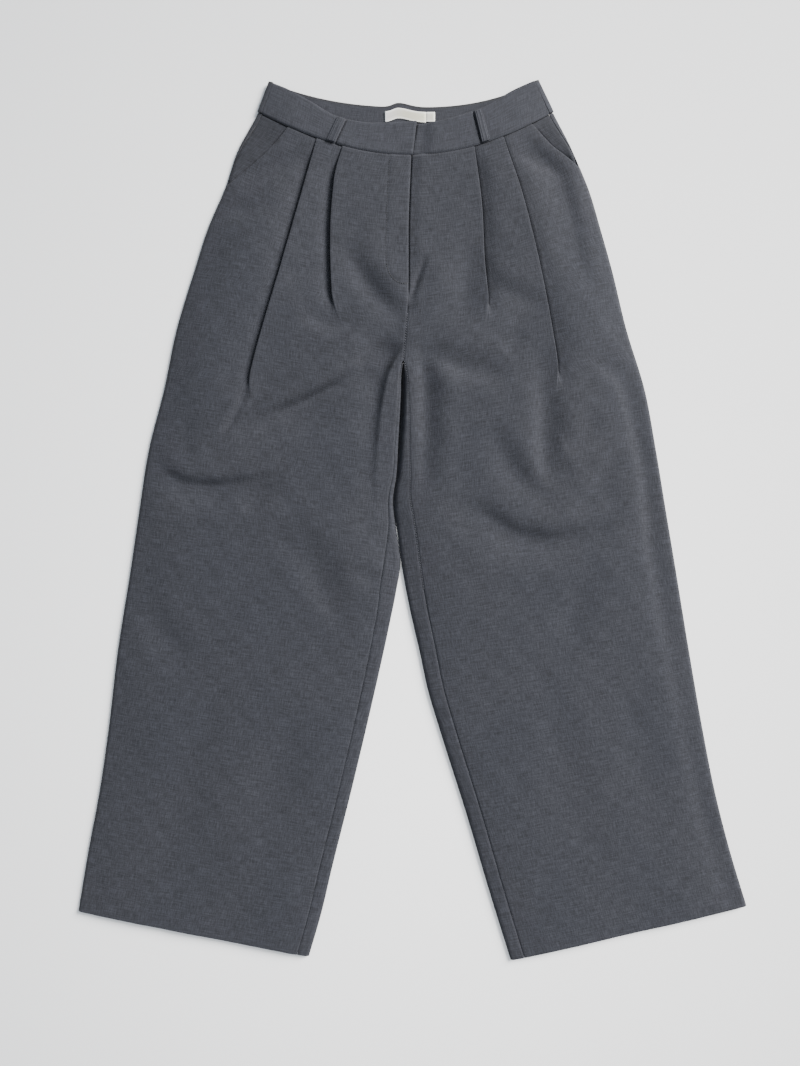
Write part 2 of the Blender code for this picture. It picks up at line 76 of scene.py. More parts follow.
# Heights of the middle of the cloth
GROUND = 0.5
NOSE = 2.6
NOSE_HALF = 0.6
NOSE_BULGE = 0.4
SHOULDER = 5.0
CROWN = ((458, 12.0), (330, 12.5), (198, 13.0), (100, 11.5), (-60, 9.5), (-300, 8.5), (-554, 7.0))
BACK_BAND = 2.5              # the back waistband, which lies on its loops
BACK_TOP = 1.7               # the back layer at its waist seam, up to which it rises
BACK_RISE_Y = 425.0          # from this row
SEWN_LIFT = 0.05             # least gap between a piece and what lies on it

# Places along the centre line
WAIST_Y = 458.0
BACK_WAIST_Y = 480.0
FRONT_BEND = 2.0
BACK_BEND = 2.4
FLY_END_Y = 268.0
CROTCH_Y = 198.0
FLY_LAP = 8.0
FLY_DROP = 1.5
FLY_LAP_START = 10.0         # above the fly's end the lap grows to its full width over this length
FLY_DROP_START = 18.0        # and the drop starts this far below it
FLY_DROP_REACH = 14.0        # the left front is back at its own height this far from its edge
CENTRE_GROOVE = 2.0          # the left front dips beside the edge of the right one
CENTRE_GROOVE_REACH = 0.9
CENTRE_GROOVE_OUT = 0.4
CENTRE_GROOVE_START = 12.0   # it starts this far above the fly's end, and deepens over as much

# Waistband and belt loops
BAND_TOP_HEIGHT = 10.0
BAND_SHOULDER = 6.0
BAND_NOSE = 4.4
BAND_LAP = 25.0
BAND_DROP = 2.1
BAND_EDGE_GROOVE = 2.4       # the left band dips beside the end of the right one
BAND_EDGE_REACH = 1.7
BAND_EDGE_OUT = -0.6
BAND_RISE_START = 8.0        # the left band rises to its own height from here
BAND_RISE = 16.0             # over this length
BAND_MIDDLE_END = 0.85       # share up to which its columns are evenly spaced
BAND_SEAM = 0.1              # gap at the side seams of the band
BACK_BAND_TOP_Y = 521.5
BACK_BAND_SEAM = 0.8
BACK_HUMP = 5.5
BACK_HUMP_X = -18.0
BACK_HUMP_STEEP = 10.0       # it falls over this length towards -X and over the next towards +X
BACK_HUMP_GENTLE = 18.0
LOOP_SHARE = 0.516
LOOP_LEAN = 4.0              # the loop's top is this much nearer to the centre than its foot
LOOP_HALF = 5.0
LOOP_ENDS = (0.01, 0.97)
LOOP_ARCH = 0.8
LOOP_TILT = 1.4              # the edge towards the centre stands higher
LOOP_GROOVE = 2.4            # the band dips beside that edge
LOOP_GROOVE_REACH = 1.2
LOOP_GROOVE_OUT = 0.6
LOOP_LIFT = 0.5
LOOP_ROLL = 0.3              # its long edges are rolled down
LOOP_RIDGE = 0.28            # and it has a ridge inside each row of stitches, and a groove on it
LOOP_RIDGE_AT = (0.42, 0.12)        # middle and reach, as shares of half its width
LOOP_STITCHES_AT = (0.7, 0.1)
LOOP_ROLL_REACH = 0.12
BACK_LOOP_SHARE = 0.55
BACK_LOOP_RIDGE = 0.12
CENTRE_LOOP_SHARE = 0.03
LABEL_DOWN = 7.0
RIBBON_LIFT = 1.4            # from the middle of the back band to the middle of the label
RIBBON_BULGE = 0.35          # more inside its ends
RIBBON_BULGE_REACH = 3.0
RIBBON_WAVE = 0.3
RIBBON_WAVE_LENGTH = 9.0
RIBBON_SLOPE = 0.25          # less at its lower edge
LABEL_HEIGHT = 13.0
TAB_HEIGHT = 12.0

# Rounding of the front layer
EDGE_REACH = 4.0
SIDE_REACH = 70.0
INNER_REACH = 55.0
CREASE_SIDE_REACH = 30.0     # creases die out over this distance from a side fold
CREASE_INNER_REACH = 12.0
FOLD_TURN = 260.0            # below the crotch the inner folds stand tall, and flatten over this
FOLD_ROUND = 2.5             # their top corners are rounded down by this

# Between the legs a lip of each leg's cloth reaches under the slot: its middle lap and half width
SLOT_LIPS = {"right": (-0.88, 0.16), "left": (-0.3, 0.14)}
SLOT_LIP_MOST = 3.2
SLOT_CLEARANCE = 1.0
SLOT_END_Y = -20.0
SLOT_END_FADE = 40.0

# Side seam, as laps round the side fold
SIDE_SEAM_TOP = 6.0
SIDE_SEAM_UNDER = -9.0
SIDE_SEAM_TURN = 90.0
POCKET_LAP = 16.0
FACING_INSET = 3.0           # the facing lies this far below the front, and less at the side seam
FACING_SEAM_INSET = 0.4
FACING_AT_WAIST = 0.45
FACING_WAIST_REACH = 22.0    # it sinks to its full inset over this length below the waist
FACING_NARROW = 3.0          # a facing this narrow takes the full inset, and a wider one takes
FACING_WIDEN = 6.0           # less at its seam
FACING_GROOVE = 0.7          # it dips beside the pocket mouth
FACING_GROOVE_OUT = 0.8
FACING_GROOVE_REACH = 1.5
FACING_GROOVE_START = 12.0
FACING_COLUMNS = 70

ROW_STEP = 3.0               # above ROW_CHANGE_Y, where most creases are
LOWER_ROW_STEP = 5.0
ROW_CHANGE_Y = -60.0
ROW_FIRST_STEPS = (0, 0.6, 1.3, 2.2, 3.5, 5.5)       # rows close together below the waist seam
ROW_LAST_STEPS = (0, 0.5, 1.2, 2.4)
CENTRE_LINE = ((458, -2.0), (385, -5.0), (268, -6.5), (198, -12.0))

# Each half: the sign of its side, how far its rows rise to the side at the waist and at the hem,
# folds and pocket mouth as (y, x) rows, the inseam as (y, distance from the inner fold) rows, the
# top of the front band as (share, y) rows with the x of its two ends, and how far the back rises.
HALVES = {
    "right": {
        "sign": -1,
        "slant": (56.0, 56.5),
        "side_fold": ((552, -180), (514, -194), (469, -218), (418, -236), (368, -257), (318, -273),
                      (242, -296), (166, -312), (91, -331), (15, -343), (-60, -354), (-161, -370),
                      (-262, -382), (-338, -393), (-413, -407), (-491, -420)),
        "inner_fold": ((198, -12.9), (186, -14.6), (160, -15.5), (100, -18.8), (60, -21),
                       (28, -25.5), (-5, -22.5), (-54, -16.4), (-86, -21.4), (-136, -31.5),
                       (-237, -54), (-338, -78), (-438, -103), (-489, -115), (-548, -132)),
        "inseam": ((198, 1.0), (128, 3), (31, 5), (-6, 8), (-48, 19), (-123, 17), (-548, 14)),
        "pocket_mouth": ((495, -155), (473, -173), (452, -195), (433, -219), (420, -236)),
        "band_top": ((0, 501), (0.25, 499), (0.38, 500), (0.55, 508), (0.73, 527), (0.89, 543),
                     (1, 552)),
        "band_top_x": (3.0, -180.0),
        "back_rise": 31.0,
    },
    "left": {
        "sign": 1,
        "slant": (56.0, 68.0),
        "side_fold": ((555, 157), (514, 176), (469, 199), (418, 220.5), (368, 235.5), (318, 249.5),
                      (242, 268), (166, 291), (91, 305), (15, 317.5), (-60, 330), (-161, 346.5),
                      (-262, 364), (-338, 379), (-413, 398), (-486, 420)),
        "inner_fold": ((198, -11.1), (186, -9.8), (160, -10.0), (100, -13.6), (60, -17), (28, -22),
                       (-5, -19.3), (-54, -13.2), (-111, -2.5), (-161, 9), (-212, 20), (-262, 35),
                       (-363, 67), (-464, 97), (-554, 125)),
        "inseam": ((198, 1.0), (140, 6), (72, 12), (15, 20), (-29, 22), (-115, 20), (-554, 16)),
        "pocket_mouth": ((500, 147), (486, 160), (470, 176), (458, 193), (445, 210)),
        "band_top": ((0, 498), (0.14, 500), (0.46, 513), (0.55, 518), (0.79, 540), (1, 555)),
        "band_top_x": (5.0, 157.0),
        "back_rise": 33.0,
    },
}

# Pleats fold towards the side. Each has a path down the front and the y where its fold runs out.
PLEATS = {
    "right": (
        {"end": 290, "hollow": 2.2, "path": ((470, -87), (440, -96), (400, -101), (282, -101),
                                             (240, -98))},
        {"end": 190, "hollow": 1.3, "path": ((474, -121), (330, -162), (181, -204), (120, -216))},
    ),
    "left": (
        {"end": 285, "hollow": 2.0, "path": ((472, 76), (394, 86), (326, 89.5), (280, 94), (218, 96))},
        {"end": 200, "hollow": 0.6, "path": ((480, 113), (418, 134), (340, 154), (272, 168),
                                             (215, 178), (140, 188))},
    ),
}
PLEAT_TOP_Y = 470.0
PLEAT_DEPTH = 16.0           # how far it is folded under at the top
PLEAT_TAPER = 0.8
PLEAT_LEAST = 2.8            # depth at which a pleat stops being a fold and opens
PLEAT_TAIL = 45.0            # length over which it opens
PLEAT_SPANS = (11.0, 28.0)   # half the width of cloth that its columns take once it is open
PLEAT_SPREAD = 160.0         # they spread over this length
PLEAT_AT_WAIST = 0.4         # its layers are pressed together in the waist seam
PLEAT_PRESSED = 40.0         # and loosen over this length
PLEAT_RECOVERY = 22.0        # the layer beyond it rises back over this distance
PLEAT_EDGE_RISE = 0.8        # the pressed edge stands up a little, but not in the waist seam
PLEAT_EDGE_REACH = 9.0
PLEAT_GROOVE = 1.7           # the layer under a pleat dips close beside its edge
PLEAT_GROOVE_REACH = 0.9
PLEAT_GROOVE_OUT = 0.45
PLEAT_HOLLOW_REACH = 11.0    # and lies a little hollow further out, by the pleat's "hollow"

# Creases of the front: a trough's depth and half width, how much wider it is on the left of its
# path than on the right, the heights of the ridges along its left and right, and its path.
CREASES = (
    # wearer's right, from the waist down
    (1.5, 12, 0.2, (0, 0), ((-134, 461), (-190, 441), (-224, 421))),
    (1.1, 11, 0, (0.3, 0), ((-172, 401), (-210, 391), (-250, 383))),
    (0.9, 11, 0, (0, 0.3), ((-113, 322), (-138, 312), (-160, 306))),
    (2.0, 13, 0, (1.2, 0), ((-86, 354), (-66, 312), (-39, 276), (-8, 250))),
    (1.3, 12, 0.2, (0, 0.4), ((-148, 262), (-110, 249), (-66, 246))),
    (3.6, 13, 0.35, (0.9, 0.8), ((-6, 240), (-53, 205), (-66, 187), (-99, 168), (-140, 147),
                                 (-174, 134), (-215, 112))),
    (1.3, 4, 0, (0, 0.4), ((-84, 175), (-102, 168), (-140, 150), (-182, 131))),
    (1.8, 11, 0.2, (0.6, 0), ((-146, 183), (-180, 169), (-206, 144), (-230, 114))),
    (1.2, 5, 0, (0, 0.3), ((-206, 170), (-212, 154), (-228, 124), (-240, 108))),
    (2.0, 20, 0, (0.5, 0.6), ((-54, 152), (-100, 134), (-154, 121), (-220, 98))),
    (2.9, 14, -0.45, (0.9, 0.5), ((-328, 72), (-289, 50), (-250, 45), (-217, 49), (-160, 59))),
    (1.2, 12, 0, (0, 0.4), ((-214, 14), (-196, 30), (-176, 46))),
    (0.8, 11, 0, (0, 0), ((-285, 136), (-284, 105), (-279, 76))),
    (2.0, 20, 0.2, (0.9, 0), ((-174, -12), (-131, -47), (-112, -85), (-80, -134))),
    (1.2, 16, 0, (0.3, 0), ((-340, -93), (-312, -141), (-280, -184))),
    (1.0, 12, 0, (0.3, 0), ((-82, -59), (-60, -69), (-40, -78))),
    (0.8, 26, 0, (0.4, 0), ((-262, -170), (-276, -290), (-300, -420))),
    (0.7, 24, 0, (0, 0.4), ((-150, -230), (-166, -330), (-196, -450))),
    # wearer's left, from the waist down
    (0.9, 12, 0, (0.3, 0), ((16, 335), (6, 305), (-5, 274))),
    (1.3, 3.5, 0, (0.3, 0), ((17, 332), (9, 312), (3, 294), (-4, 272))),
    (1.5, 12, 0.2, (0, 0), ((120, 468), (165, 448), (206, 430))),
    (2.3, 20, -0.4, (0.5, 0), ((128, 489), (158, 457), (184, 427), (196, 385), (206, 335),
                               (224, 280))),
    (1.5, 17, 0, (0.4, 0.3), ((73, 346), (67, 300), (58, 244))),
    (1.2, 12, 0, (0.4, 0), ((94, 304), (123, 286), (160, 266))),
    (2.6, 15, 0.2, (0.7, 0.6), ((16, 222), (40, 203), (60, 193), (88, 188), (124, 185))),
    (1.1, 12, 0, (0, 0.3), ((142, 236), (126, 225), (114, 210))),
    (2.8, 15, 0.2, (1.1, 0.4), ((158, 216), (164, 147), (165, 107), (167, 67), (187, 40))),
    (1.7, 15, 0, (0.6, 0.4), ((96, 120), (110, 88), (130, 58), (152, 39), (174, 24))),
    (2.7, 17, -0.3, (0.9, 0.6), ((48, 30), (89, 8), (126, -15), (171, -24), (215, -15), (243, 8),
                                 (258, 57))),
    (1.2, 13, 0, (0.4, 0.3), ((196, 6), (229, 35), (258, 83))),
    (1.2, 13, 0, (0, 0.4), ((186, 96), (205, 103), (236, 134))),
    (2.0, 13, 0.3, (0.5, 0), ((206, 222), (236, 196), (261, 174), (280, 116), (291, 62), (296, 8),
                              (302, -47), (326, -183), (340, -250))),
    (1.1, 13, 0.2, (0.3, 0), ((330, -200), (343, -265), (359, -340), (377, -413), (402, -478))),
    (1.2, 18, 0, (0.5, 0), ((232, -46), (205, -100), (182, -145))),
    (0.8, 24, 0, (0, 0.4), ((160, -170), (186, -280), (222, -420))),
    (0.7, 26, 0, (0.4, 0), ((270, -200), (290, -320), (318, -450))),
    # valley beside the inseam, wearer's left
    (2.4, 12, 0.2, (0.8, 0.3), ((9, 232), (14, 197), (16, 152), (16, 84), (12, 20))),
)

# Hidden creases of the back, as (depth, half width, path). They lift the cloth off the ground.
BACK_CREASES = (
    (1.4, 16, ((-60, 250), (-120, 215), (-190, 200))),
    (1.6, 18, ((-50, 190), (-120, 150), (-210, 140))),
    (1.1, 20, ((-300, 60), (-220, 30), (-150, 40))),
    (0.9, 22, ((-120, -120), (-190, -150), (-260, -140))),
    (1.3, 15, ((60, 245), (130, 220), (200, 215))),
    (1.6, 18, ((50, 180), (110, 150), (190, 135))),
    (1.2, 20, ((90, 20), (180, -10), (260, 30))),
    (0.9, 22, ((130, -140), (200, -170), (270, -150))),
)
CREASE_STEPS = 48            # samples along a crease
CREASE_STRENGTH = 2.3
CREASE_END = 0.06            # a crease's ends fade as the ends of a sine do
CREASE_TAPER = 0.8
RIDGE_AWAY = 2.0             # a ridge's distance from its trough, in half widths of the trough
RIDGE_WIDTH = 1.2
LEAST_HEIGHT = 3.2           # a trough's middle stays above this
LIMIT_POWER = 4              # the higher, the later a trough is held back
BACK_DRAPE = 0.25            # the back layer takes this much of the drape
BACK_SLACK = 0.5

# The strip of the wearer's right inner thigh has a sharp outer edge. Beside it the cloth falls into
# a valley, which rises again further out.
STRIP_EDGE = ((-6, 222), (-23, 200), (-31, 181), (-36, 160), (-40, 136), (-43, 105), (-46, 62),
              (-45, 16), (-44, -60))
STRIP_DEPTH = 7.5
STRIP_FALL = 5.5
STRIP_RISE = 27.0
STRIP_STARTS = 0.12          # places on its edge up to which it deepens
STRIP_FADES = 0.3            # and from which it fades
STRIP_END_REACH = 6.0

# Soft unevenness of all the cloth, as (height, x wave length, y wave length, phase)
DRAPE = ((0.34, 170, 260, 0.4), (0.24, -118, 150, 2.1), (0.16, 74, -96, 4.4), (0.10, 41, 58, 1.3),
         (0.07, -27, 35, 5.2))

# Fly: the topstitched J on the wearer's right
FLY_CURVE = ((-6, 297), (-15, 297), (-24, 302), (-30, 311), (-33, 324))
FLY_UPRIGHT = ((-33, 324), (-33.5, 350), (-32, 400), (-29, 455))
FLY_GROOVES = ((FLY_CURVE, 0.7), (FLY_UPRIGHT, 0.4))    # how deep each stitch line pulls the cloth
FLY_GROOVE_REACH = 1.3
PLACKET_RISE = 0.3
PLACKET_FOOT_Y = 292.0       # it rises from here upwards over the next length
PLACKET_FOOT = 14.0
PLACKET_EDGE = 2.5
PLACKET_PAST_CENTRE = 3.0

# Seams sink along their edges
WAIST_SINK = 1.1
TUCKS = ((7.0, 1.1), (3.5, 1.0), (1.2, 0.5))      # reach and drop of the seam allowance's rows
SEAM_SINK = 0.65
SIDE_SINK = 0.25
SINK_REACH = 1.1
PUCKER = 0.16                # seams pull the cloth beside them into short waves
PUCKER_REACH = 9.0
PUCKER_LENGTH = 11.0
PUCKER_UNEVEN = 0.4          # how much their height changes along the seam
PUCKER_SWELL = 37.0
PUCKER_DRIFT = 19.0
PUCKER_START = 4.0

# Stitches
STITCH = 2.1
STITCH_GAP = 0.9
STITCH_RINGS = 5
STITCH_SIDES = 6
STITCH_END = 0.12            # squared width of a stitch at its ends, as a share
INSEAM_STITCH_END_Y = -90.0
THREAD = 0.24                # half the width of a stitch
# the J curve's thread is drawn wider than real thread, with painted shade of its groove
STRONG_THREAD = 0.6
SEAM_THREAD = 0.36
INSEAM_STITCH_START = 6.0    # below the fly's end
INSEAM_STITCH_LIFT = 0.35
INSEAM_STITCH_SHIFT = 0.5    # towards the seam


# --- Curves and easing -------------------------------------------------------------------------

def smooth_curve(rows):
    """A smooth function through (place, value) rows, straight beyond their ends."""
    places, values = np.array(sorted(rows), float).T
    slopes = np.gradient(values, places)

    def value(at):
        at = np.asarray(at, float)
        low = np.clip(np.searchsorted(places, at) - 1, 0, len(places) - 2)
        span = places[low + 1] - places[low]
        t = np.clip((at - places[low]) / span, 0, 1)
        inside = ((2 * t**3 - 3 * t**2 + 1) * values[low] + (3 * t**2 - 2 * t**3) * values[low + 1]
                  + (t**3 - 2 * t**2 + t) * span * slopes[low]
                  + (t**3 - t**2) * span * slopes[low + 1])
        below, above = np.minimum(at - places[0], 0), np.maximum(at - places[-1], 0)
        return inside + below * slopes[0] + above * slopes[-1]

    return value


def ease(t):
    """0 to 1 with soft ends."""
    t = np.clip(t, 0, 1)
    return t * t * (3 - 2 * t)


def rounded(distance, reach):
    """0 at an edge, 1 from reach inwards, steepest at the edge."""
    t = np.clip(np.asarray(distance, float) / reach, 0, 1)
    return 1 - (1 - t) ** 2


def mix(a, b, t):
    return a + (b - a) * t


def hump(distance, reach):
    """1 at a line, falling smoothly to 0 on both sides."""
    return np.exp(-(distance / reach) ** 2)


def sample_path(path, count):
    """Points along a smooth path, evenly spaced by its control points."""
    path = np.array(path, float)
    steps = np.linspace(0, 1, len(path))
    t = np.linspace(0, 1, count)
    return np.stack([smooth_curve(tuple(zip(steps, path[:, axis])))(t) for axis in (0, 1)], axis=-1)


def along_path(x, y, path, count=CREASE_STEPS):
    """For each point: its place along a path, 0 to 1, signed distance from it and overshoot."""
    line = sample_path(path, count)
    tangent = np.gradient(line, axis=0)
    step = np.linalg.norm(tangent, axis=1)
    tangent /= step[:, None]
    away = (np.subtract.outer(x, line[:, 0]) ** 2 + np.subtract.outer(y, line[:, 1]) ** 2)
    nearest = away.argmin(axis=-1)
    dx, dy = x - line[nearest, 0], y - line[nearest, 1]
    tx, ty = tangent[nearest, 0], tangent[nearest, 1]
    ahead = dx * tx + dy * ty
    place = np.clip((nearest + ahead / step[nearest]) / (count - 1), 0, 1)
    beyond = np.maximum(np.abs(ahead) - step[nearest], 0)
    return place, tx * dy - ty * dx, beyond


def end_fade(place):
    """1 along most of a crease, falling to 0 at both of its ends."""
    along = CREASE_END + (1 - 2 * CREASE_END) * place
    return np.sin(np.pi * along) ** CREASE_TAPER - np.sin(np.pi * CREASE_END) ** CREASE_TAPER


def crease_relief(x, y):
    """Height that the creases and the drape add to the front layer at each point."""
    total = np.zeros(np.broadcast(x, y).shape)
    for depth, width, skew, (left_ridge, right_ridge), path in CREASES:
        place, q, beyond = along_path(x, y, path)
        fade = end_fade(place) * hump(beyond, width)
        left, right = width * (1 + skew), width * (1 - skew)
        shape = -depth * hump(q, np.where(q > 0, left, right))
        shape += left_ridge * hump(q - RIDGE_AWAY * left, RIDGE_WIDTH * width)
        shape += right_ridge * hump(q + RIDGE_AWAY * right, RIDGE_WIDTH * width)
        total += fade * shape
    total = CREASE_STRENGTH * total - strip_valley(x, y)
    room = crown(y) - LEAST_HEIGHT
    held = total / (1 + (total / room) ** LIMIT_POWER) ** (1 / LIMIT_POWER)
    kept = np.where(total < 0, held, total)
    return kept + drape(x, y)


def strip_valley(x, y):
    """How far the cloth falls beside the strip of the inner thigh."""
    place, q, beyond = along_path(x, y, STRIP_EDGE)
    away = np.maximum(-q, 0)
    fade = ease(place / STRIP_STARTS) * (1 - ease((place - STRIP_FADES) / (1 - STRIP_FADES)))
    fade = fade * hump(beyond, STRIP_END_REACH)
    return STRIP_DEPTH * fade * (1 - np.exp(-away / STRIP_FALL)) * hump(away, STRIP_RISE)


def drape(x, y):
    return sum(height * np.sin(2 * np.pi * (x / long_x + y / long_y) + phase)
               for height, long_x, long_y, phase in DRAPE)


def back_relief(x, y):
    """Height that the hidden creases lift the back layer off the ground."""
    total = np.zeros(np.broadcast(x, y).shape)
    for depth, width, path in BACK_CREASES:
        place, q, beyond = along_path(x, y, path)
        total += depth * end_fade(place) * hump(beyond, width) * hump(q, width)
    soft = drape(x, y)
    return total + BACK_DRAPE * (BACK_SLACK + soft - soft.min())


crown = smooth_curve(CROWN)
centre_line = smooth_curve(CENTRE_LINE)


def slot_width(row):
    """Distance between the inner folds of the two legs."""
    right, left = (smooth_curve(HALVES[name]["inner_fold"])(row) for name in ("right", "left"))
    return float(left - right)


# --- One half of the trousers ------------------------------------------------------------------

class Half:
    """The shape of one half: where its rows run and how high its layers lie."""

    def __init__(self, name):
        data = HALVES[name]
        self.name = name
        self.sign = data["sign"]
        self.hem_y = round(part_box(f"front_{name}")[0][1] / MM)
        self.slant = data["slant"]
        self.side_fold = smooth_curve(data["side_fold"])
        self.inner_fold = smooth_curve(data["inner_fold"])
        self.inseam = smooth_curve(data["inseam"])
        self.mouth = smooth_curve(data["pocket_mouth"])
        self.band_top = smooth_curve(data["band_top"])
        self.band_top_x = data["band_top_x"]
        self.back_rise = data["back_rise"]
        self.pocket_end = next(row for row in np.arange(WAIST_Y, CROTCH_Y, -1.0)
                               if self.mouth_lap(row) is None)
        self.rows = self.row_places()
        self.pleats = []
        for pleat in PLEATS[name]:
            path = smooth_curve(pleat["path"])
            rows = np.arange(WAIST_Y, self.hem_y, -5.0)
            last_row = next(row for row in rows
                            if self.pleat_on_path(row, path)[1] < pleat["end"] - PLEAT_TAIL)
            self.pleats.append({**pleat, "path": path, "last_row": last_row})

    def row_places(self):
        first = [WAIST_Y - step for step in ROW_FIRST_STEPS]
        last = [self.hem_y + step for step in ROW_LAST_STEPS]
        fixed = [*first, self.pocket_end, CROTCH_Y, *last]
        stops = sorted([first[-1], self.pocket_end, CROTCH_Y, ROW_CHANGE_Y, last[-1]], reverse=True)
        rows = set(fixed)
        for high, low in zip(stops, stops[1:]):
            step = ROW_STEP if high > ROW_CHANGE_Y else LOWER_ROW_STEP
            count = max(1, round((high - low) / step))
            rows.update(np.linspace(high, low, count + 1))
        return sorted(rows, reverse=True)

    def side_y(self, row):
        down = (WAIST_Y - row) / (WAIST_Y - self.hem_y)
        return row + mix(*self.slant, down)

    def inner_x(self, row):
        return float(centre_line(row) if row > CROTCH_Y else self.inner_fold(row))

    def width(self, row):
        return abs(float(self.side_fold(self.side_y(row))) - self.inner_x(row))

    def place(self, row, out, back=False):
        """x and y of points at distances out from the inner edge of a row."""
        u = out / self.width(row)
        rise = ease((row - CROTCH_Y) / (WAIST_Y - CROTCH_Y))
        inner_y = row + (BACK_WAIST_Y - WAIST_Y) * rise * back
        bend = 1 + rise * ((BACK_BEND if back else FRONT_BEND) - 1)
        x = self.inner_x(row) + self.sign * out
        y = inner_y + (self.side_y(row) - inner_y) * np.sign(u) * np.abs(u) ** bend
        return x, y

    def fold_share(self, row):
        """0 where the front and back meet at the crotch, 1 where the inner fold is a full one."""
        return float(ease((CROTCH_Y - row) / FOLD_TURN))

    def fold_head(self, row):
        """Height of the top corner of the inner fold where it stands tall."""
        return float(crown(row) - FOLD_ROUND * ease((CROTCH_Y - row) / 20))

    def back_height(self, row):
        """Middle of the back layer, which rises to meet its waistband."""
        rise = ease((row - BACK_RISE_Y) / (WAIST_Y - BACK_RISE_Y))
        return float(mix(GROUND, BACK_TOP, rise))

    def top_height(self, row, out, inset=0.0):
        """Middle of the front layer, before its pleats and creases."""
        side, inner = self.width(row) - out, out
        share = self.fold_share(row)
        bulge = rounded(side, SIDE_REACH) * mix(1, rounded(inner, INNER_REACH), share)
        full = SHOULDER + (float(crown(row)) - SHOULDER) * bulge - inset
        side_nose = NOSE + NOSE_HALF
        inner_nose = mix(self.fold_head(row) - inset, NOSE + NOSE_HALF, share)
        full = side_nose + (full - side_nose) * rounded(side, EDGE_REACH)
        if row <= CROTCH_Y:
            full = inner_nose + (full - inner_nose) * rounded(inner, EDGE_REACH)
        return full

    def crease_share(self, row, out):
        """How much of the creases' height a place on the front takes: none at the folds."""
        side, share = self.width(row) - out, self.fold_share(row)
        at_side = rounded(side, CREASE_SIDE_REACH) * rounded(side, EDGE_REACH)
        at_inner = rounded(out, CREASE_INNER_REACH) * rounded(out, EDGE_REACH)
        return at_side * mix(1, at_inner, share)

    def round_side(self, row, lap, lift=0.0, inset=0.0):
        """Points round the side fold at laps, from on top to underneath."""
        lap = np.asarray(lap, float)
        side = np.maximum(np.abs(lap) - 1, 0)
        nose = np.sqrt(np.clip(1 - lap**2, 0, 1)) * NOSE_BULGE - inset * ease((7 - np.abs(lap)) / 5)
        out = self.width(row) - side
        top = self.top_height(row, out, inset) + lift * rounded(side, EDGE_REACH)
        low = mix(NOSE - NOSE_HALF, self.back_height(row), rounded(side, EDGE_REACH))
        z = np.where(lap > 1, top, np.where(lap < -1, low, NOSE + NOSE_HALF * lap))
        x, y = self.place(row, out)
        return np.stack([x + self.sign * nose, y, z], axis=-1)

    def round_inner(self, row, lap):
        """Points round the inner fold at laps, from on top to underneath."""
        lap = np.asarray(lap, float)
        out = np.maximum(np.abs(lap) - 1, 0)
        share = self.fold_share(row)
        top = self.top_height(row, out)
        head = mix(self.fold_head(row), NOSE + NOSE_HALF, share)
        foot = mix(self.back_height(row), NOSE - NOSE_HALF, share)
        low = mix(foot, self.back_height(row), rounded(out, EDGE_REACH))
        z = np.where(lap > 1, top, np.where(lap < -1, low, mix(foot, head, (lap + 1) / 2)))
        x, y = self.place(row, out)
        nose = np.sqrt(np.clip(1 - lap**2, 0, 1)) * NOSE_BULGE * share
        lip_lap, lip_half = SLOT_LIPS[self.name]
        reach = np.clip(slot_width(row) - SLOT_CLEARANCE, 0, SLOT_LIP_MOST)
        nose = nose + reach * ease((row - SLOT_END_Y) / SLOT_END_FADE) * hump(lap - lip_lap, lip_half)
        return np.stack([x - self.sign * nose, y, z], axis=-1)

    def side_seam(self, row):
        """Lap of the side seam: on top at the waist, on the nose where the pocket ends, then under."""
        above = (row - self.pocket_end) / (WAIST_Y - self.pocket_end)
        below = (self.pocket_end - row) / SIDE_SEAM_TURN
        return float(SIDE_SEAM_TOP * ease(above) + SIDE_SEAM_UNDER * ease(below))

    def mouth_lap(self, row):
        """Lap of the pocket mouth on a row, or None below the pocket."""
        side = np.arange(0, 90, 0.25)
        x, y = self.place(row, self.width(row) - side)
        beyond = (x - self.mouth(y)) * self.sign
        if beyond[0] <= 0:
            return None
        return float(np.interp(0, -beyond, side)) + 1

    def pleat_on_path(self, row, path):
        """Distance out, on a row, of the path of a pleat's edge, and the y there."""
        out = 0.4 * self.width(row)
        for _ in range(12):
            _, y = self.place(row, out)
            out = abs(float(path(y)) - self.inner_x(row))
        return out, float(y)

    def pleat_at(self, row, pleat):
        """As pleat_on_path, but keeping its share of the width below the path's end."""
        out, y = self.pleat_on_path(max(row, pleat["last_row"]), pleat["path"])
        if row < pleat["last_row"]:
            out *= self.width(row) / self.width(pleat["last_row"])
            _, y = self.place(row, out)
        return out, float(y)


# --- Cloth surfaces ----------------------------------------------------------------------------

NOSE_TURN = np.linspace(0, np.pi, 7)
PLEAT_EDGE_POINT = 7         # the outermost point of a pleat's section
UNDER_POINTS = 7             # points of its section on the lowest layer


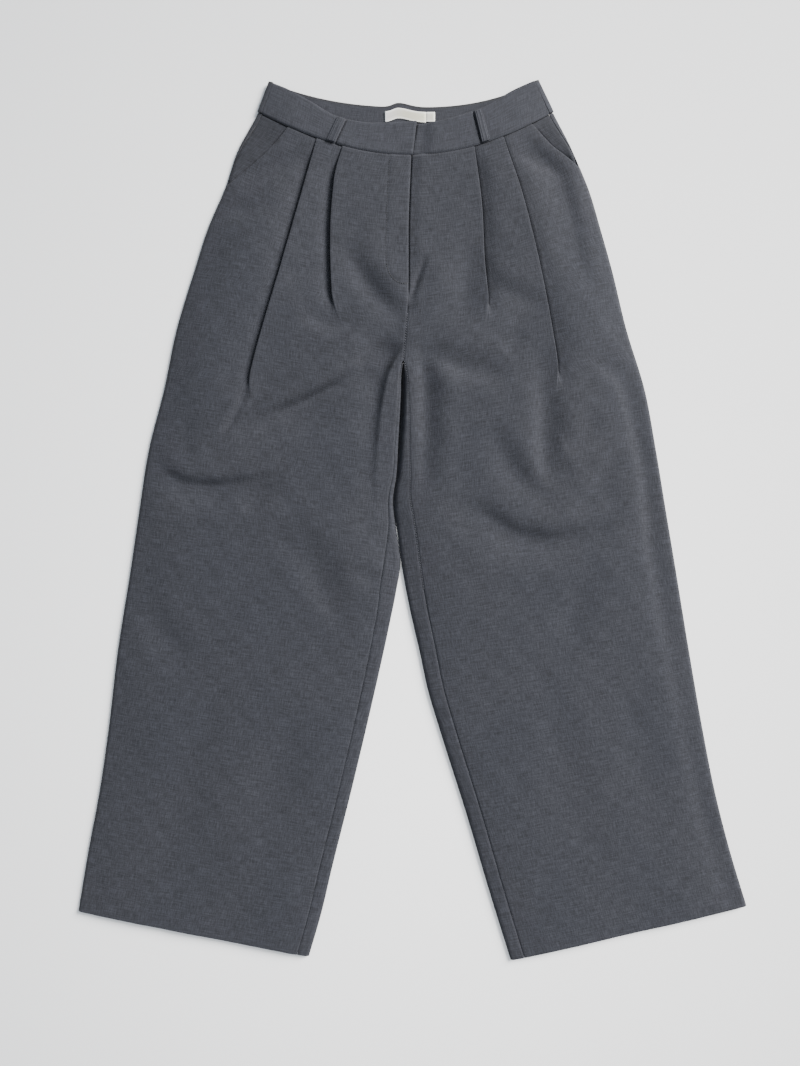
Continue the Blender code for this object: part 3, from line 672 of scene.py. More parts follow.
def pleat_section(half, row, pleat):
    """Distances out and drops of the points of a pleat's S on a row."""
    out, y = half.pleat_at(row, pleat)
    end = pleat["end"]
    deep = np.clip((y - end) / (PLEAT_TOP_Y - end), 0, 1) ** PLEAT_TAPER
    depth = mix(PLEAT_LEAST, PLEAT_DEPTH, deep)
    opened = float(ease((end - y) / PLEAT_TAIL))
    half_span = mix(*PLEAT_SPANS, float(ease((end - y) / PLEAT_SPREAD)))
    turn = PLY / 2
    edge = -turn + turn * np.sin(NOSE_TURN)
    fold = turn - depth - turn * np.sin(NOSE_TURN)
    shut = np.concatenate([[-depth - 7, -depth - 3, mix(-depth, -turn, 0.3), mix(-depth, -turn, 0.7)],
                           edge, [mix(-turn, turn - depth, 0.5)], fold,
                           [mix(turn - depth, 0, 0.5), -0.5, 0.2, 0.6, 1.1, 2.2, 6]])
    rise = turn * (1 - np.cos(NOSE_TURN))
    drops = np.concatenate([[0] * 4, rise, [PLY], PLY + rise, [2 * PLY] * UNDER_POINTS])
    flat = np.linspace(-half_span, half_span, len(shut))
    pressed = mix(PLEAT_AT_WAIST, 1, float(ease((WAIST_Y - row) / PLEAT_PRESSED)))
    return out + mix(shut, flat, opened), drops * (1 - opened) * pressed


EDGE_STEPS = np.array([0, 0.5, 1.1, 1.9, 3, 5])       # columns close together beside a seam
NEAR_STEPS = np.array([6.2, 6.9, 7.4, 7.8, 8.2, 8.6, 9.1, 9.8, 11, *np.linspace(12.6, 42, 15)])
INSIDE_COLUMNS = 14
MIDDLE_COLUMNS = 12
OUTSIDE_COLUMNS = 22
SIDE_LAPS = np.array([30, 25, 21, 17, 14, 11.5, 9, 7.5, 6, 5, 4, 3, 2.2, 1.5, 1, 0.6, 0.2, -0.2,
                      -0.6, -1, -1.5, -2.2, -3, -4, -5, -6.3, -7.6, -9])
BACK_LAPS = np.array([23, 12, 6, 3, 1.8, 1, 0.6, 0.2, -0.2, -0.6, -1, -1.5, -2.2, -3, -4, -5.5, -7.5,
                      -10, -13, -17, -23])
LEAST_STEP = 0.4
UNDER_COLUMNS = 30
UNDER_LAPS = (1.2, 4.0)      # lap under the inner fold where they end, at the crotch and below
WRAP_LAPS = 5                # the wrap's columns under the fold, besides those round its nose
BACK_CREASE_TOP_Y = 420.0
NOSE_STEPS = 20
WRAP_SHARES = (0.06, 0.14, 0.24, 0.36, 0.5, 0.64, 0.76, 0.86, 0.93, 0.97, 1)


def seam_gap(lap):
    """Half the gap at the side seam, as a lap. A lap on the nose is a shorter step."""
    return SEAM / 2 * (1 + max(0, 1.6 - abs(lap)))


def laps_to(end_lap):
    """Laps of the front's columns round the side fold, stopping at end_lap."""
    steps = np.arange(len(SIDE_LAPS))[::-1] * LEAST_STEP
    return np.maximum(SIDE_LAPS, end_lap + steps)


def laps_from(start_lap):
    """Laps of the back's columns round the side fold, starting at start_lap."""
    return np.minimum(BACK_LAPS, start_lap - np.arange(len(BACK_LAPS)) * LEAST_STEP)


def fall_beyond(out, folded):
    """How far the layer lies down past the pleats it comes out of."""
    total = np.zeros(len(out))
    for places, drops in folded:
        past = out - places[-1]
        deep = drops[-1] * np.exp(-np.maximum(past, 0) / PLEAT_RECOVERY)
        total += np.where(past > 0, deep, 0)
    return total


def groove_beside(beside, shut, hollow):
    """How much the layer under a pleat dips, by the distance from the pleat's edge."""
    close = PLEAT_GROOVE * shut * hump(beside - PLEAT_GROOVE_OUT, PLEAT_GROOVE_REACH)
    return close + hollow * shut**2 * hump(beside, PLEAT_HOLLOW_REACH)


def crest(out, places, layer):
    """How far the top layer stands up beside the pressed edge of one pleat."""
    shut = layer[-1] / (2 * PLY)
    if shut == 0:
        return np.zeros(len(out))
    beside = np.exp(-np.abs(out - places[PLEAT_EDGE_POINT]) / PLEAT_EDGE_REACH)
    return PLEAT_EDGE_RISE * shut * beside * (1 - layer / layer[-1])


def fly_state(row):
    """How far the wearer's left front runs under the right, and how much lower it lies."""
    above = row - FLY_END_Y
    lap = FLY_LAP * float(ease(above / FLY_LAP_START))
    drop = FLY_DROP * float(ease((above + FLY_DROP_START) / FLY_DROP_START))
    return lap, drop


def front_row(half, row):
    """Points of one row of a front panel, and how much of the creases each takes."""
    lap, drop = fly_state(row) if half.name == "left" else (0, 0)
    start = float(half.inseam(row)) if row <= CROTCH_Y else -lap
    start += SEAM / 2
    mouth = half.mouth_lap(row)
    end_lap = half.side_seam(row) if mouth is None else mouth
    end_lap += seam_gap(end_lap)
    laps = laps_to(end_lap)
    folded = [pleat_section(half, row, pleat) for pleat in half.pleats]
    inner, outer = (places for places, _ in folded)
    last = half.width(row) - (laps[0] - 1)
    edge = start + EDGE_STEPS
    near = start + NEAR_STEPS
    inside = np.concatenate([near, np.linspace(near[-1], inner[0], INSIDE_COLUMNS + 2)[1:-1]])
    middle = np.linspace(inner[-1], outer[0], MIDDLE_COLUMNS + 2)[1:-1]
    outside = np.linspace(outer[-1], last, OUTSIDE_COLUMNS + 2)[1:-1]
    out = np.concatenate([edge, inside, inner, middle, outer, outside])
    drops = fall_beyond(out, folded)
    first = len(edge) + len(inside)
    second = first + len(inner) + len(middle)
    for begin, pleat, (places, own_drops) in zip((first, second), half.pleats, folded):
        end = begin + len(places)
        layer = np.zeros(len(out))
        layer[begin:end], layer[end:] = own_drops, own_drops[-1]
        drops[begin:end] += own_drops
        drops -= crest(out, places, layer) * ease((WAIST_Y - row) / PLEAT_PRESSED)
        beyond = slice(end - UNDER_POINTS, len(out))
        beside = out[beyond] - places[PLEAT_EDGE_POINT]
        drops[beyond] += groove_beside(beside, own_drops[-1] / (2 * PLY), pleat["hollow"])
    if lap:
        open_fly = ease((row - FLY_END_Y) / CENTRE_GROOVE_START - 1)
        drops += open_fly * CENTRE_GROOVE * hump(out - CENTRE_GROOVE_OUT, CENTRE_GROOVE_REACH)
    z = half.top_height(row, out) - drops - drop * (1 - ease((out - 1) / FLY_DROP_REACH))
    x, y = half.place(row, out)
    side_out = half.width(row) - np.maximum(laps - 1, 0)
    side = half.round_side(row, laps, lift=-fall_beyond(side_out, folded))
    points = np.concatenate([np.stack([x, y, z], axis=-1), side])
    side_share = np.where(laps > 1, half.crease_share(row, side_out), 0)
    return points, np.concatenate([half.crease_share(row, out), side_share])


def placket_rise(x, y):
    """The fly's layers stand up between its topstitching and the centre front."""
    stitch_x = smooth_curve(tuple((b, a) for a, b in FLY_UPRIGHT))(y)
    inside = ease((x - stitch_x) / PLACKET_EDGE + 0.5) * ease((y - PLACKET_FOOT_Y) / PLACKET_FOOT)
    groove = 0
    for path, depth in FLY_GROOVES:
        _, q, beyond = along_path(x, y, path)
        groove = np.maximum(groove, depth * hump(q, FLY_GROOVE_REACH) * hump(beyond, 1))
    return (PLACKET_RISE * inside - groove) * (x < centre_line(y) + PLACKET_PAST_CENTRE)


def tuck_under(grid):
    """Adds the seam allowance, which runs on from a panel's first row, under the waistband."""
    up = grid[0] - grid[3]
    up[:, 2] = 0
    up /= np.linalg.norm(up, axis=1, keepdims=True)
    extra = [grid[0] + up * reach - [0, 0, drop] for reach, drop in TUCKS]
    return np.concatenate([np.array(extra), grid])


def front_panel(half):
    rows = [front_row(half, row) for row in half.rows]
    grid = np.array([points for points, _ in rows])
    share = np.array([weights for _, weights in rows])
    x, y = grid[..., 0], grid[..., 1]
    grid[..., 2] += crease_relief(x, y) * share
    if half.name == "right":
        grid[..., 2] += placket_rise(x, y)
    grid[..., 2] -= WAIST_SINK * hump(distances(grid)[1], SINK_REACH)
    grid = sink_edges(grid, half.sign, first_column=SEAM_SINK, last_column=SIDE_SINK)
    return tuck_under(grid)


def back_row(half, row):
    """One row of a back panel: the underside, then the wrap round the inner leg below the crotch."""
    seam = half.side_seam(row)
    side = half.round_side(row, laps_from(seam - seam_gap(seam)))
    shared_lap = -mix(*UNDER_LAPS, half.fold_share(row))
    inner_out = SEAM / 2 if row > CROTCH_Y else -shared_lap - 1
    first_out = half.width(row) + BACK_LAPS[-1] + 1
    out = first_out + (inner_out - first_out) * np.linspace(0, 1, UNDER_COLUMNS + 1)[1:]
    x, y = half.place(row, out, back=True)
    z = np.full(len(out), half.back_height(row))
    under = np.stack([x, y, z], axis=-1)
    wrap_laps = WRAP_LAPS + NOSE_STEPS + len(WRAP_SHARES)
    if row > CROTCH_Y:
        wrap = np.full((wrap_laps, 3), np.nan)
        top_share = np.zeros(wrap_laps)
    else:
        under[-1] = half.round_inner(row, [shared_lap])[0]
        seam_lap = float(half.inseam(row)) + 1 - SEAM / 2
        below = np.linspace(shared_lap, -1, WRAP_LAPS + 2)[1:]
        nose = np.linspace(-1, 1, NOSE_STEPS)[1:]
        laps = np.array([*below, *nose, *(mix(1, seam_lap, share) for share in WRAP_SHARES)])
        wrap = half.round_inner(row, laps)
        top_share = np.where(laps > 1, half.crease_share(row, np.maximum(laps - 1, 0)), 0)
    under_share = np.concatenate([np.zeros(len(side)), ease((out - inner_out) / 30)
                                  * ease((half.width(row) - out - 20) / 40)])
    return (np.concatenate([side, under, wrap]),
            np.concatenate([np.zeros(len(under_share)), top_share]),
            np.concatenate([under_share * (row < BACK_CREASE_TOP_Y), np.zeros(wrap_laps)]))


def back_panel(half):
    """All rows of a back panel. Places above the crotch that have no wrap are not-a-number."""
    rows = [back_row(half, row) for row in half.rows]
    grid, top_share, under_share = (np.array([row[part] for row in rows]) for part in range(3))
    x, y = np.nan_to_num(grid[..., 0]), np.nan_to_num(grid[..., 1])
    grid[..., 2] += crease_relief(x, y) * top_share + back_relief(x, y) * under_share
    grid = sink_edges(grid, half.sign, first_row=SIDE_SINK, first_column=SIDE_SINK,
                      last_column=SEAM_SINK)
    grid[..., 2] = np.maximum(grid[..., 2], SHELL / 2 + SEWN_LIFT)
    return grid


def pocket_facing(half):
    """The cloth behind the pocket mouth, from under the front panel to the side seam."""
    grid, shares = [], []
    for row in half.rows:
        if row < half.pocket_end:
            break
        mouth = half.mouth_lap(row) or half.side_seam(row)
        seam = half.side_seam(row)
        laps = mix(mouth + POCKET_LAP, seam + seam_gap(seam), np.linspace(0, 1, FACING_COLUMNS))
        folded = [pleat_section(half, row, pleat) for pleat in half.pleats]
        out = half.width(row) - np.maximum(laps - 1, 0)
        span = mouth - seam
        wide = ease((span - FACING_NARROW) / FACING_WIDEN)
        at_seam = mix(FACING_INSET, FACING_SEAM_INSET, wide)
        inset = mix(at_seam, FACING_INSET, ease((laps - seam) / max(span, FACING_NARROW)))
        inset = inset * mix(FACING_AT_WAIST, 1, ease((WAIST_Y - row) / FACING_WAIST_REACH))
        groove = hump(laps - mouth + FACING_GROOVE_OUT, FACING_GROOVE_REACH)
        inset = inset + FACING_GROOVE * groove * ease((WAIST_Y - row) / FACING_GROOVE_START)
        grid.append(half.round_side(row, laps, lift=-fall_beyond(out, folded), inset=inset))
        shares.append(half.crease_share(row, out))
    grid = np.array(grid)
    grid[..., 2] += crease_relief(grid[..., 0], grid[..., 1]) * np.array(shares)
    grid[..., 2] -= WAIST_SINK * hump(distances(grid)[1], SINK_REACH)
    return tuck_under(sink_edges(grid, half.sign, last_column=SIDE_SINK))


def distances(grid):
    """How far each point is along its row and down its column."""
    across, down = np.zeros(grid.shape[:2]), np.zeros(grid.shape[:2])
    across[:, 1:] = np.nan_to_num(np.linalg.norm(np.diff(grid, axis=1), axis=-1))
    down[1:] = np.nan_to_num(np.linalg.norm(np.diff(grid, axis=0), axis=-1))
    return across.cumsum(axis=1), down.cumsum(axis=0)


def grid_normals(grid):
    """Unit normals of a grid. Places without cloth take the first row below that has it."""
    first = (~np.isnan(grid[..., 0])).argmax(axis=0)
    from_row = np.maximum(np.arange(len(grid))[:, None], first)
    filled = grid[from_row, np.arange(grid.shape[1])]
    normal = np.cross(np.gradient(filled, axis=1), np.gradient(filled, axis=0))
    return normal / np.maximum(np.linalg.norm(normal, axis=-1, keepdims=True), 1e-9)


def sink_edges(grid, inward, pucker=PUCKER, **depths):
    """Rolls edges of a panel inwards by depths, named by edge, and puckers the cloth beside them.
    inward is 1 where the grid's normals point into the tube of cloth, and -1 where they point out."""
    across, down = distances(grid)
    valid = ~np.isnan(grid[..., 0])
    far_across = np.where(valid, across, 0).max(axis=1, keepdims=True)
    far_down = np.where(valid, down, 0).max(axis=0, keepdims=True)
    edges = {"first_row": (np.where(valid[:1], down, 1e3), across),
             "last_row": (far_down - down, across),
             "first_column": (across, down),
             "last_column": (far_across - across, down)}
    sunk, wave = np.zeros(across.shape), np.zeros(across.shape)
    for edge, depth in depths.items():
        distance, along = edges[edge]
        sunk = np.maximum(sunk, depth * hump(distance, SINK_REACH))
        uneven = 1 - PUCKER_UNEVEN + PUCKER_UNEVEN * np.sin(along / PUCKER_SWELL)
        waves = np.sin(2 * np.pi * along / PUCKER_LENGTH + np.sin(along / PUCKER_DRIFT))
        near = np.exp(-distance / PUCKER_REACH) * ease(distance / PUCKER_START)
        wave += pucker * uneven * waves * near
    return grid + grid_normals(grid) * (inward * (sunk - wave))[..., None]


# --- Waistband, loops and label ----------------------------------------------------------------

BAND_UPS = np.array([0, 0.008, 0.02, 0.045, 0.08, *np.linspace(0.14, 0.86, 11), 0.92, 0.955, 0.98,
                     0.992, 1])
BAND_COLUMNS = 170
EDGE_TONE_REACH = 1.8
BAND_SIDE_LAPS = np.array([16, 11, 7.5, 5, 3, 1.8, 1, 0.4, 0])       # from the side seam inwards
BAND_NOSE_LAPS = np.array([3, 2.2, 1.5, 1, 0.6, 0.2, -0.2, -0.6, -1, -1.5, -2.2, -3, -5, -8, -14,
                           -22])
BAND_LAP_COLUMNS = np.array([*np.linspace(-BAND_LAP, -5, 8), *np.linspace(-4, 8, 13),
                             *np.linspace(8, 24, 7)[1:]])
RIGHT_BAND_START = -0.01     # share at which the right end of the front band starts
BACK_BAND_SHARES = np.linspace(0.86, 0.0, 34)


def band_ends(half, up):
    """x of the inner end and of the side fold of the waistband."""
    inner = mix(half.inner_x(WAIST_Y), half.band_top_x[0], up)
    outer = mix(float(half.side_fold(half.side_y(WAIST_Y))), half.band_top_x[1], up)
    return inner, outer


def loop_share(half, up):
    """Share of the band's width at which the middle of the front loop lies."""
    inner, outer = band_ends(half, up)
    return LOOP_SHARE - LOOP_LEAN * (up - 0.35) / np.abs(outer - inner)


def band_points(half, ups, shares=None, laps=None, back=False, drop=0.0):
    """A grid of points of the waistband: up from its seam, across by shares or by laps."""
    up = np.asarray(ups, float)[:, None]
    inner, outer = band_ends(half, up)
    width = np.abs(outer - inner)
    if laps is None:
        share = np.atleast_2d(np.asarray(shares, float)) + 0 * up
        lap = np.full(share.shape, -2.0 if back else 2.0)
    else:
        lap = np.asarray(laps, float)[None, :] + 0 * up
        share = 1 - np.maximum(np.abs(lap) - 1, 0) / width
    side = (1 - share) * width
    bend = np.abs(share) ** (BACK_BEND if back else FRONT_BEND)
    low = mix(BACK_WAIST_Y if back else WAIST_Y, half.side_y(WAIST_Y), bend)
    high = BACK_BAND_TOP_Y + half.back_rise * bend if back else half.band_top(np.maximum(share, 0))
    x = mix(inner, outer, share)
    if back:
        fall = np.where(x < BACK_HUMP_X, BACK_HUMP_STEEP, BACK_HUMP_GENTLE)
        high = high + BACK_HUMP * hump(x - BACK_HUMP_X, fall)
    y = mix(low + (BACK_BAND_SEAM if back else SEAM), high, up)
    height = mix(BAND_SHOULDER, mix(float(crown(WAIST_Y)), BAND_TOP_HEIGHT, up),
                 rounded(side, SIDE_REACH))
    height = height + drape(x, y) * rounded(side, CREASE_SIDE_REACH)
    if not back:
        beside = (share - loop_share(half, up)) * width + LOOP_HALF + LOOP_GROOVE_OUT
        height = height - LOOP_GROOVE * hump(beside, LOOP_GROOVE_REACH)
    top = mix(BAND_NOSE + NOSE_HALF, height, rounded(side, EDGE_REACH)) - drop
    under = mix(BAND_NOSE - NOSE_HALF, BACK_BAND, rounded(side, EDGE_REACH))
    on_nose = np.abs(lap) < 1
    z = np.where(on_nose, BAND_NOSE + NOSE_HALF * lap, np.where(lap < 0, under, top))
    x = x + half.sign * NOSE_BULGE * np.sqrt(np.clip(1 - lap**2, 0, 1)) * on_nose
    return np.stack([x, y, z], axis=-1)


def front_band(half):
    """Front waistband of one half. The right end lies on top of the left one at the centre front."""
    edge = SIDE_SEAM_TOP + BAND_SEAM / 2
    side = band_points(half, BAND_UPS, laps=edge + BAND_SIDE_LAPS)
    if half.name == "left":
        reach = BAND_LAP_COLUMNS
        drop = BAND_DROP * (1 - ease((reach - BAND_RISE_START) / BAND_RISE))
        drop += BAND_EDGE_GROOVE * hump(reach - BAND_EDGE_OUT, BAND_EDGE_REACH)
        shares = reach / abs(half.band_top_x[1] - half.band_top_x[0])
        centre = band_points(half, BAND_UPS, shares=shares, drop=drop)
    else:
        shares = RIGHT_BAND_START + EDGE_STEPS / half.width(WAIST_Y)
        centre = band_points(half, BAND_UPS, shares=shares)
    shares = np.linspace(shares[-1], BAND_MIDDLE_END, BAND_COLUMNS)[1:]
    middle = band_points(half, BAND_UPS, shares=shares)
    grid = np.concatenate([centre, middle, side], axis=1)
    overlap = {"first_column": SEAM_SINK} if half.name == "right" else {}
    return sink_edges(grid, -half.sign, pucker=0.1, first_row=WAIST_SINK, last_row=SEAM_SINK,
                      last_column=0, **overlap)


def back_band(right, left):
    """Back waistband, from the top of one side fold, underneath, to the top of the other."""
    edge = SIDE_SEAM_TOP - BAND_SEAM / 2
    laps = [edge, edge - 0.5, edge - 1.3, *BAND_NOSE_LAPS]
    sides = [band_points(half, BAND_UPS, laps=laps, back=True) for half in (right, left)]
    under = [band_points(half, BAND_UPS, shares=BACK_BAND_SHARES, back=True)
             for half in (right, left)]
    grid = np.concatenate([sides[0], under[0], under[1][:, -2::-1], sides[1][:, ::-1]], axis=1)
    return sink_edges(grid, 1, pucker=0.0, first_row=SIDE_SINK)


def front_loop(half):
    """A belt loop on the front waistband, made from the band's points, moved out."""
    half_share = LOOP_HALF / half.width(WAIST_Y)
    across = np.linspace(-1, 1, 21)
    ups = np.linspace(*LOOP_ENDS, 30)
    middle = loop_share(half, ups)[:, None]
    grid = band_points(half, ups, shares=middle + across * half_share)
    grid[..., 2] = grid[..., 2].max(axis=1, keepdims=True)
    ridge, groove = (hump(np.abs(across) - place, reach)
                     for place, reach in (LOOP_RIDGE_AT, LOOP_STITCHES_AT))
    profile = LOOP_RIDGE * (ridge - groove) - LOOP_ROLL * hump(np.abs(across) - 1, LOOP_ROLL_REACH)
    free = np.sin(np.pi * np.linspace(0, 1, len(ups)))[:, None] ** 0.5
    grid[..., 2] += BAND_WALL / 2 + SEAM + LOOP_LIFT + LOOP_ARCH * free + profile
    grid[..., 2] -= LOOP_TILT * free * across / 2
    return grid


def back_loop(half, share):
    """A belt loop under the back waistband: a flat strip on the ground."""
    ends = band_points(half, LOOP_ENDS, shares=[share], back=True)[:, 0]
    across = np.linspace(-1, 1, 11)
    along = np.linspace(0, 1, 12)
    x = mix(ends[0, 0], ends[1, 0], along)[:, None] + across * LOOP_HALF
    y = mix(ends[0, 1], ends[1, 1], along)[:, None] + 0 * across
    z = GROUND + BACK_LOOP_RIDGE * hump(np.abs(across) - 0.55, 0.14) + 0 * along[:, None]
    return np.stack([x, y, z], axis=-1)


def ribbon(node, right, left):
    """A strip of ribbon inside the back waistband, as wide and tall as its CAD solid."""
    low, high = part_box(node)
    xs = np.linspace(low[0], high[0], 40) / MM
    tall = LABEL_HEIGHT if node == "label" else TAB_HEIGHT
    downs = np.linspace(0, 1, 16)
    columns = []
    for x in xs:
        half = right if x < right.band_top_x[0] else left
        inner, outer = half.band_top_x
        top = band_points(half, [1], shares=[(x - inner) / (outer - inner)], back=True)[0, 0]
        bulge = RIBBON_BULGE * rounded(min(x - xs[0], xs[-1] - x), RIBBON_BULGE_REACH)
        lift = BACK_BAND + RIBBON_LIFT + bulge + RIBBON_WAVE * np.sin(x / RIBBON_WAVE_LENGTH)
        columns.append([(x, top[1] - LABEL_DOWN - down * tall, lift - RIBBON_SLOPE * down)
                        for down in downs])
    return np.array(columns).transpose(1, 0, 2)


# --- Meshes ------------------------------------------------------------------------------------

def add_uv(mesh, values):
    """A UV map in metres along and across the grain, from one value per vertex."""
    layer = mesh.uv_layers.new(name="grain")
    corners = np.empty(len(mesh.loops), np.int32)
    mesh.loops.foreach_get("vertex_index", corners)
    layer.uv.foreach_set("vector", values[corners].astype(np.float32).ravel())


def make_mesh(name, points, faces, material):
    mesh = bpy.data.meshes.new(name)
    mesh.from_pydata(points.tolist(), [], faces)
    mesh.materials.append(material)
    mesh.shade_smooth()
    return mesh


def add_object(name, data):
    made = bpy.data.objects.new(name, data)
    bpy.context.scene.collection.objects.link(made)
    return made


def make_sheet(name, grid, wall, material, toned_edges=(), soften=0):
    """A shell of cloth over a grid of points, whose colour changes along the folded edges that are
    named.
    """
    valid = ~np.isnan(grid[..., 0])
    number = np.where(valid, np.cumsum(valid.ravel()).reshape(valid.shape) - 1, -1)
    corners = np.stack([number[:-1, :-1], number[:-1, 1:], number[1:, 1:], number[1:, :-1]], axis=-1)
    corners = corners.reshape(-1, 4)
    faces = corners[(corners >= 0).all(axis=1)].tolist()
    mesh = make_mesh(name, grid[valid] * MM, faces, material)
    across, down = distances(grid)
    middle = grid.shape[1] // 3
    along = down[:, middle:middle + 1] + 0 * across
    add_uv(mesh, np.stack([across - across[:, middle:middle + 1], -along], axis=-1)[valid] * MM)
    edge = np.zeros(across.shape)
    far = {"first_column": across, "last_column": across[:, -1:] - across,
           "first_row": down, "last_row": down[-1:] - down}
    for side in toned_edges:
        edge = np.maximum(edge, hump(far[side], EDGE_TONE_REACH))
    edge_layer = mesh.attributes.new("edge", "FLOAT", "POINT")
    edge_layer.data.foreach_set("value", edge[valid].astype(np.float32))
    piece = add_object(name, mesh)
    solidify = piece.modifiers.new("wall", "SOLIDIFY")
    solidify.thickness = wall * MM
    solidify.offset = 0
    if soften:
        smooth = piece.modifiers.new("soften", "SUBSURF")
        smooth.levels = smooth.render_levels = soften
    return piece


def height_over(grid, x, y):
    """Height of the cloth's middle at points, from the nearest places of its grid that are on top."""
    top = grid[grid[..., 2] > SHOULDER - 1]
    away = np.subtract.outer(x, top[:, 0]) ** 2 + np.subtract.outer(y, top[:, 1]) ** 2
    nearest = np.argsort(away, axis=1)[:, :4]
    weight = 1 / (np.take_along_axis(away, nearest, axis=1) + 0.05)
    return (top[nearest, 2] * weight).sum(axis=1) / weight.sum(axis=1)


def stitch_faces():
    """Faces of one stitch: quads between its rings, and two caps."""
    ring = np.arange(STITCH_SIDES)
    quads = [(low + a, low + b, low + b + STITCH_SIDES, low + a + STITCH_SIDES)
             for low in STITCH_SIDES * np.arange(STITCH_RINGS - 1)
             for a, b in zip(ring, np.roll(ring, -1))]
    return [*quads, ring[::-1], ring + STITCH_SIDES * (STITCH_RINGS - 1)]


def stitches(name, line, material, half_width):
    """One mesh of separate stitches along a line of 3-D points, each a thin bent capsule."""
    steps = np.linalg.norm(np.diff(line, axis=0), axis=1)
    travel = np.concatenate([[0], steps.cumsum()])
    t = np.linspace(0, 1, STITCH_RINGS)
    swell = half_width * np.sqrt(np.clip(1 - (2 * t - 1) ** 2, STITCH_END, 1))[:, None, None]
    angle = (np.arange(STITCH_SIDES) * 2 * np.pi / STITCH_SIDES)[None, :, None]
    up = np.array([0, 0, 1])
    one_stitch = stitch_faces()
    points, faces = [], []
    for start in np.arange(STITCH_GAP, travel[-1] - STITCH, STITCH + STITCH_GAP):
        at = start + t * STITCH
        spine = np.stack([np.interp(at, travel, line[:, axis]) for axis in range(3)], axis=-1)
        forward = spine[-1] - spine[0]
        side = np.cross(forward / np.linalg.norm(forward), up)
        rings = spine[:, None] + swell * (np.cos(angle) * side + np.sin(angle) * up)
        base = len(points) * STITCH_RINGS * STITCH_SIDES
        faces += [[int(base + corner) for corner in face] for face in one_stitch]
        points.append(rings.reshape(-1, 3))
    return add_object(name, make_mesh(name, np.concatenate(points) * MM, faces, material))


# --- Materials ---------------------------------------------------------------------------------

class Shading:
    """A material's node tree, with short ways to add to it."""

    def __init__(self, name, finish):
        self.material = bpy.data.materials.new(name)
        self.material.use_nodes = True
        self.tree = self.material.node_tree
        self.shader = self.tree.nodes["Principled BSDF"]
        for socket, value in finish.items():
            self.shader.inputs[socket].default_value = value
        self.grain = self.node("ShaderNodeUVMap", uv_map="grain").outputs["UV"]

    def node(self, kind, **settings):
        made = self.tree.nodes.new(kind)
        for key, value in settings.items():
            setattr(made, key, value)
        return made

    def link(self, a, b):
        self.tree.links.new(a, b)

    def math(self, operation, a, b):
        made = self.node("ShaderNodeMath", operation=operation)
        for socket, value in zip(made.inputs, (a, b)):
            if isinstance(value, (int, float)):
                socket.default_value = value
            else:
                self.link(value, socket)
        return made.outputs[0]

    def threads(self, across, along, turned=False, detail=1.5):
        """Noise drawn out along the grain, in cells of across by along metres."""
        mapping = self.node("ShaderNodeMapping")
        cells = (1 / along, 1 / across, 1) if turned else (1 / across, 1 / along, 1)
        mapping.inputs["Scale"].default_value = cells
        self.link(self.grain, mapping.inputs["Vector"])
        noise = self.node("ShaderNodeTexNoise", noise_dimensions="2D")
        noise.inputs["Scale"].default_value = 1.0
        noise.inputs["Detail"].default_value = detail
        self.link(mapping.outputs["Vector"], noise.inputs["Vector"])
        return noise.outputs["Fac"]

    def ramp(self, value, *stops):
        made = self.node("ShaderNodeValToRGB")
        elements = made.color_ramp.elements
        while len(elements) < len(stops):
            elements.new(0.5)
        for element, (place, colour) in zip(elements, stops):
            element.position = place
            element.color = (*colour, 1)
        self.link(value, made.inputs["Fac"])
        return made.outputs["Color"]

    def blend(self, value, a, b, mode="MIX"):
        made = self.node("ShaderNodeMix", data_type="RGBA", blend_type=mode)
        for name, item in (("Factor", value), ("A", a), ("B", b)):
            if hasattr(item, "links"):
                self.link(item, made.inputs[name])
            else:
                made.inputs[name].default_value = (*item, 1) if hasattr(item, "__len__") else item
        return made.outputs["Result"]

    def tone_edges(self, colour, edge_colour):
        """A colour that changes to an edge colour along the folded edges that a sheet marks."""
        edge = self.node("ShaderNodeAttribute", attribute_name="edge").outputs["Fac"]
        return self.blend(self.math("MULTIPLY", edge, EDGE_TONE_MIX), colour, edge_colour)

    def bump(self, height, distance, strength, normal=None):
        made = self.node("ShaderNodeBump")
        made.inputs["Distance"].default_value = distance
        made.inputs["Strength"].default_value = strength
        self.link(height, made.inputs["Height"])
        if normal is not None:
            self.link(normal, made.inputs["Normal"])
        self.link(made.outputs["Normal"], self.shader.inputs["Normal"])
        return made.outputs["Normal"]


# Sizes of threads and slubs are in metres here.
THREAD_PITCH = 0.0009
# Along marked folded edges the suiting turns darker and browner and the label lighter, by this much
EDGE_TONE_MIX = 0.7
SUITING = (0.0186, 0.0197, 0.0248)
SUITING_FINISH = {"Roughness": 0.86, "Specular IOR Level": 0.2, "Sheen Weight": 0.08,
                  "Sheen Roughness": 0.45, "Sheen Tint": (0.84, 0.81, 0.8, 1)}
EDGE_TONE = (0.98, 0.9, 0.68)
SATIN_FINISH = {"Roughness": 0.5, "Sheen Weight": 0.1}
SATIN_EDGE_TONE = (0.74, 0.74, 0.72)
THREAD_FINISH = {"Roughness": 0.7}
FLOOR_FINISH = {"Roughness": 0.65, "Specular IOR Level": 0.2}


def scaled_suiting(*factors):
    """The suiting's colour, made lighter or darker by factors for all of it or for each channel."""
    colour = np.array(SUITING)
    for factor in factors:
        colour = colour * factor
    return tuple(colour.tolist())


def weave_height(shading, pitch):
    """A plain weave: warp and weft threads that pass over each other in turn."""
    split = shading.node("ShaderNodeSeparateXYZ")
    shading.link(shading.grain, split.inputs["Vector"])
    turns = [shading.math("MULTIPLY", split.outputs[axis], np.pi / pitch) for axis in (0, 1)]
    waves = [shading.math("SINE", turn, 0.0) for turn in turns]
    return shading.math("MULTIPLY", *waves)


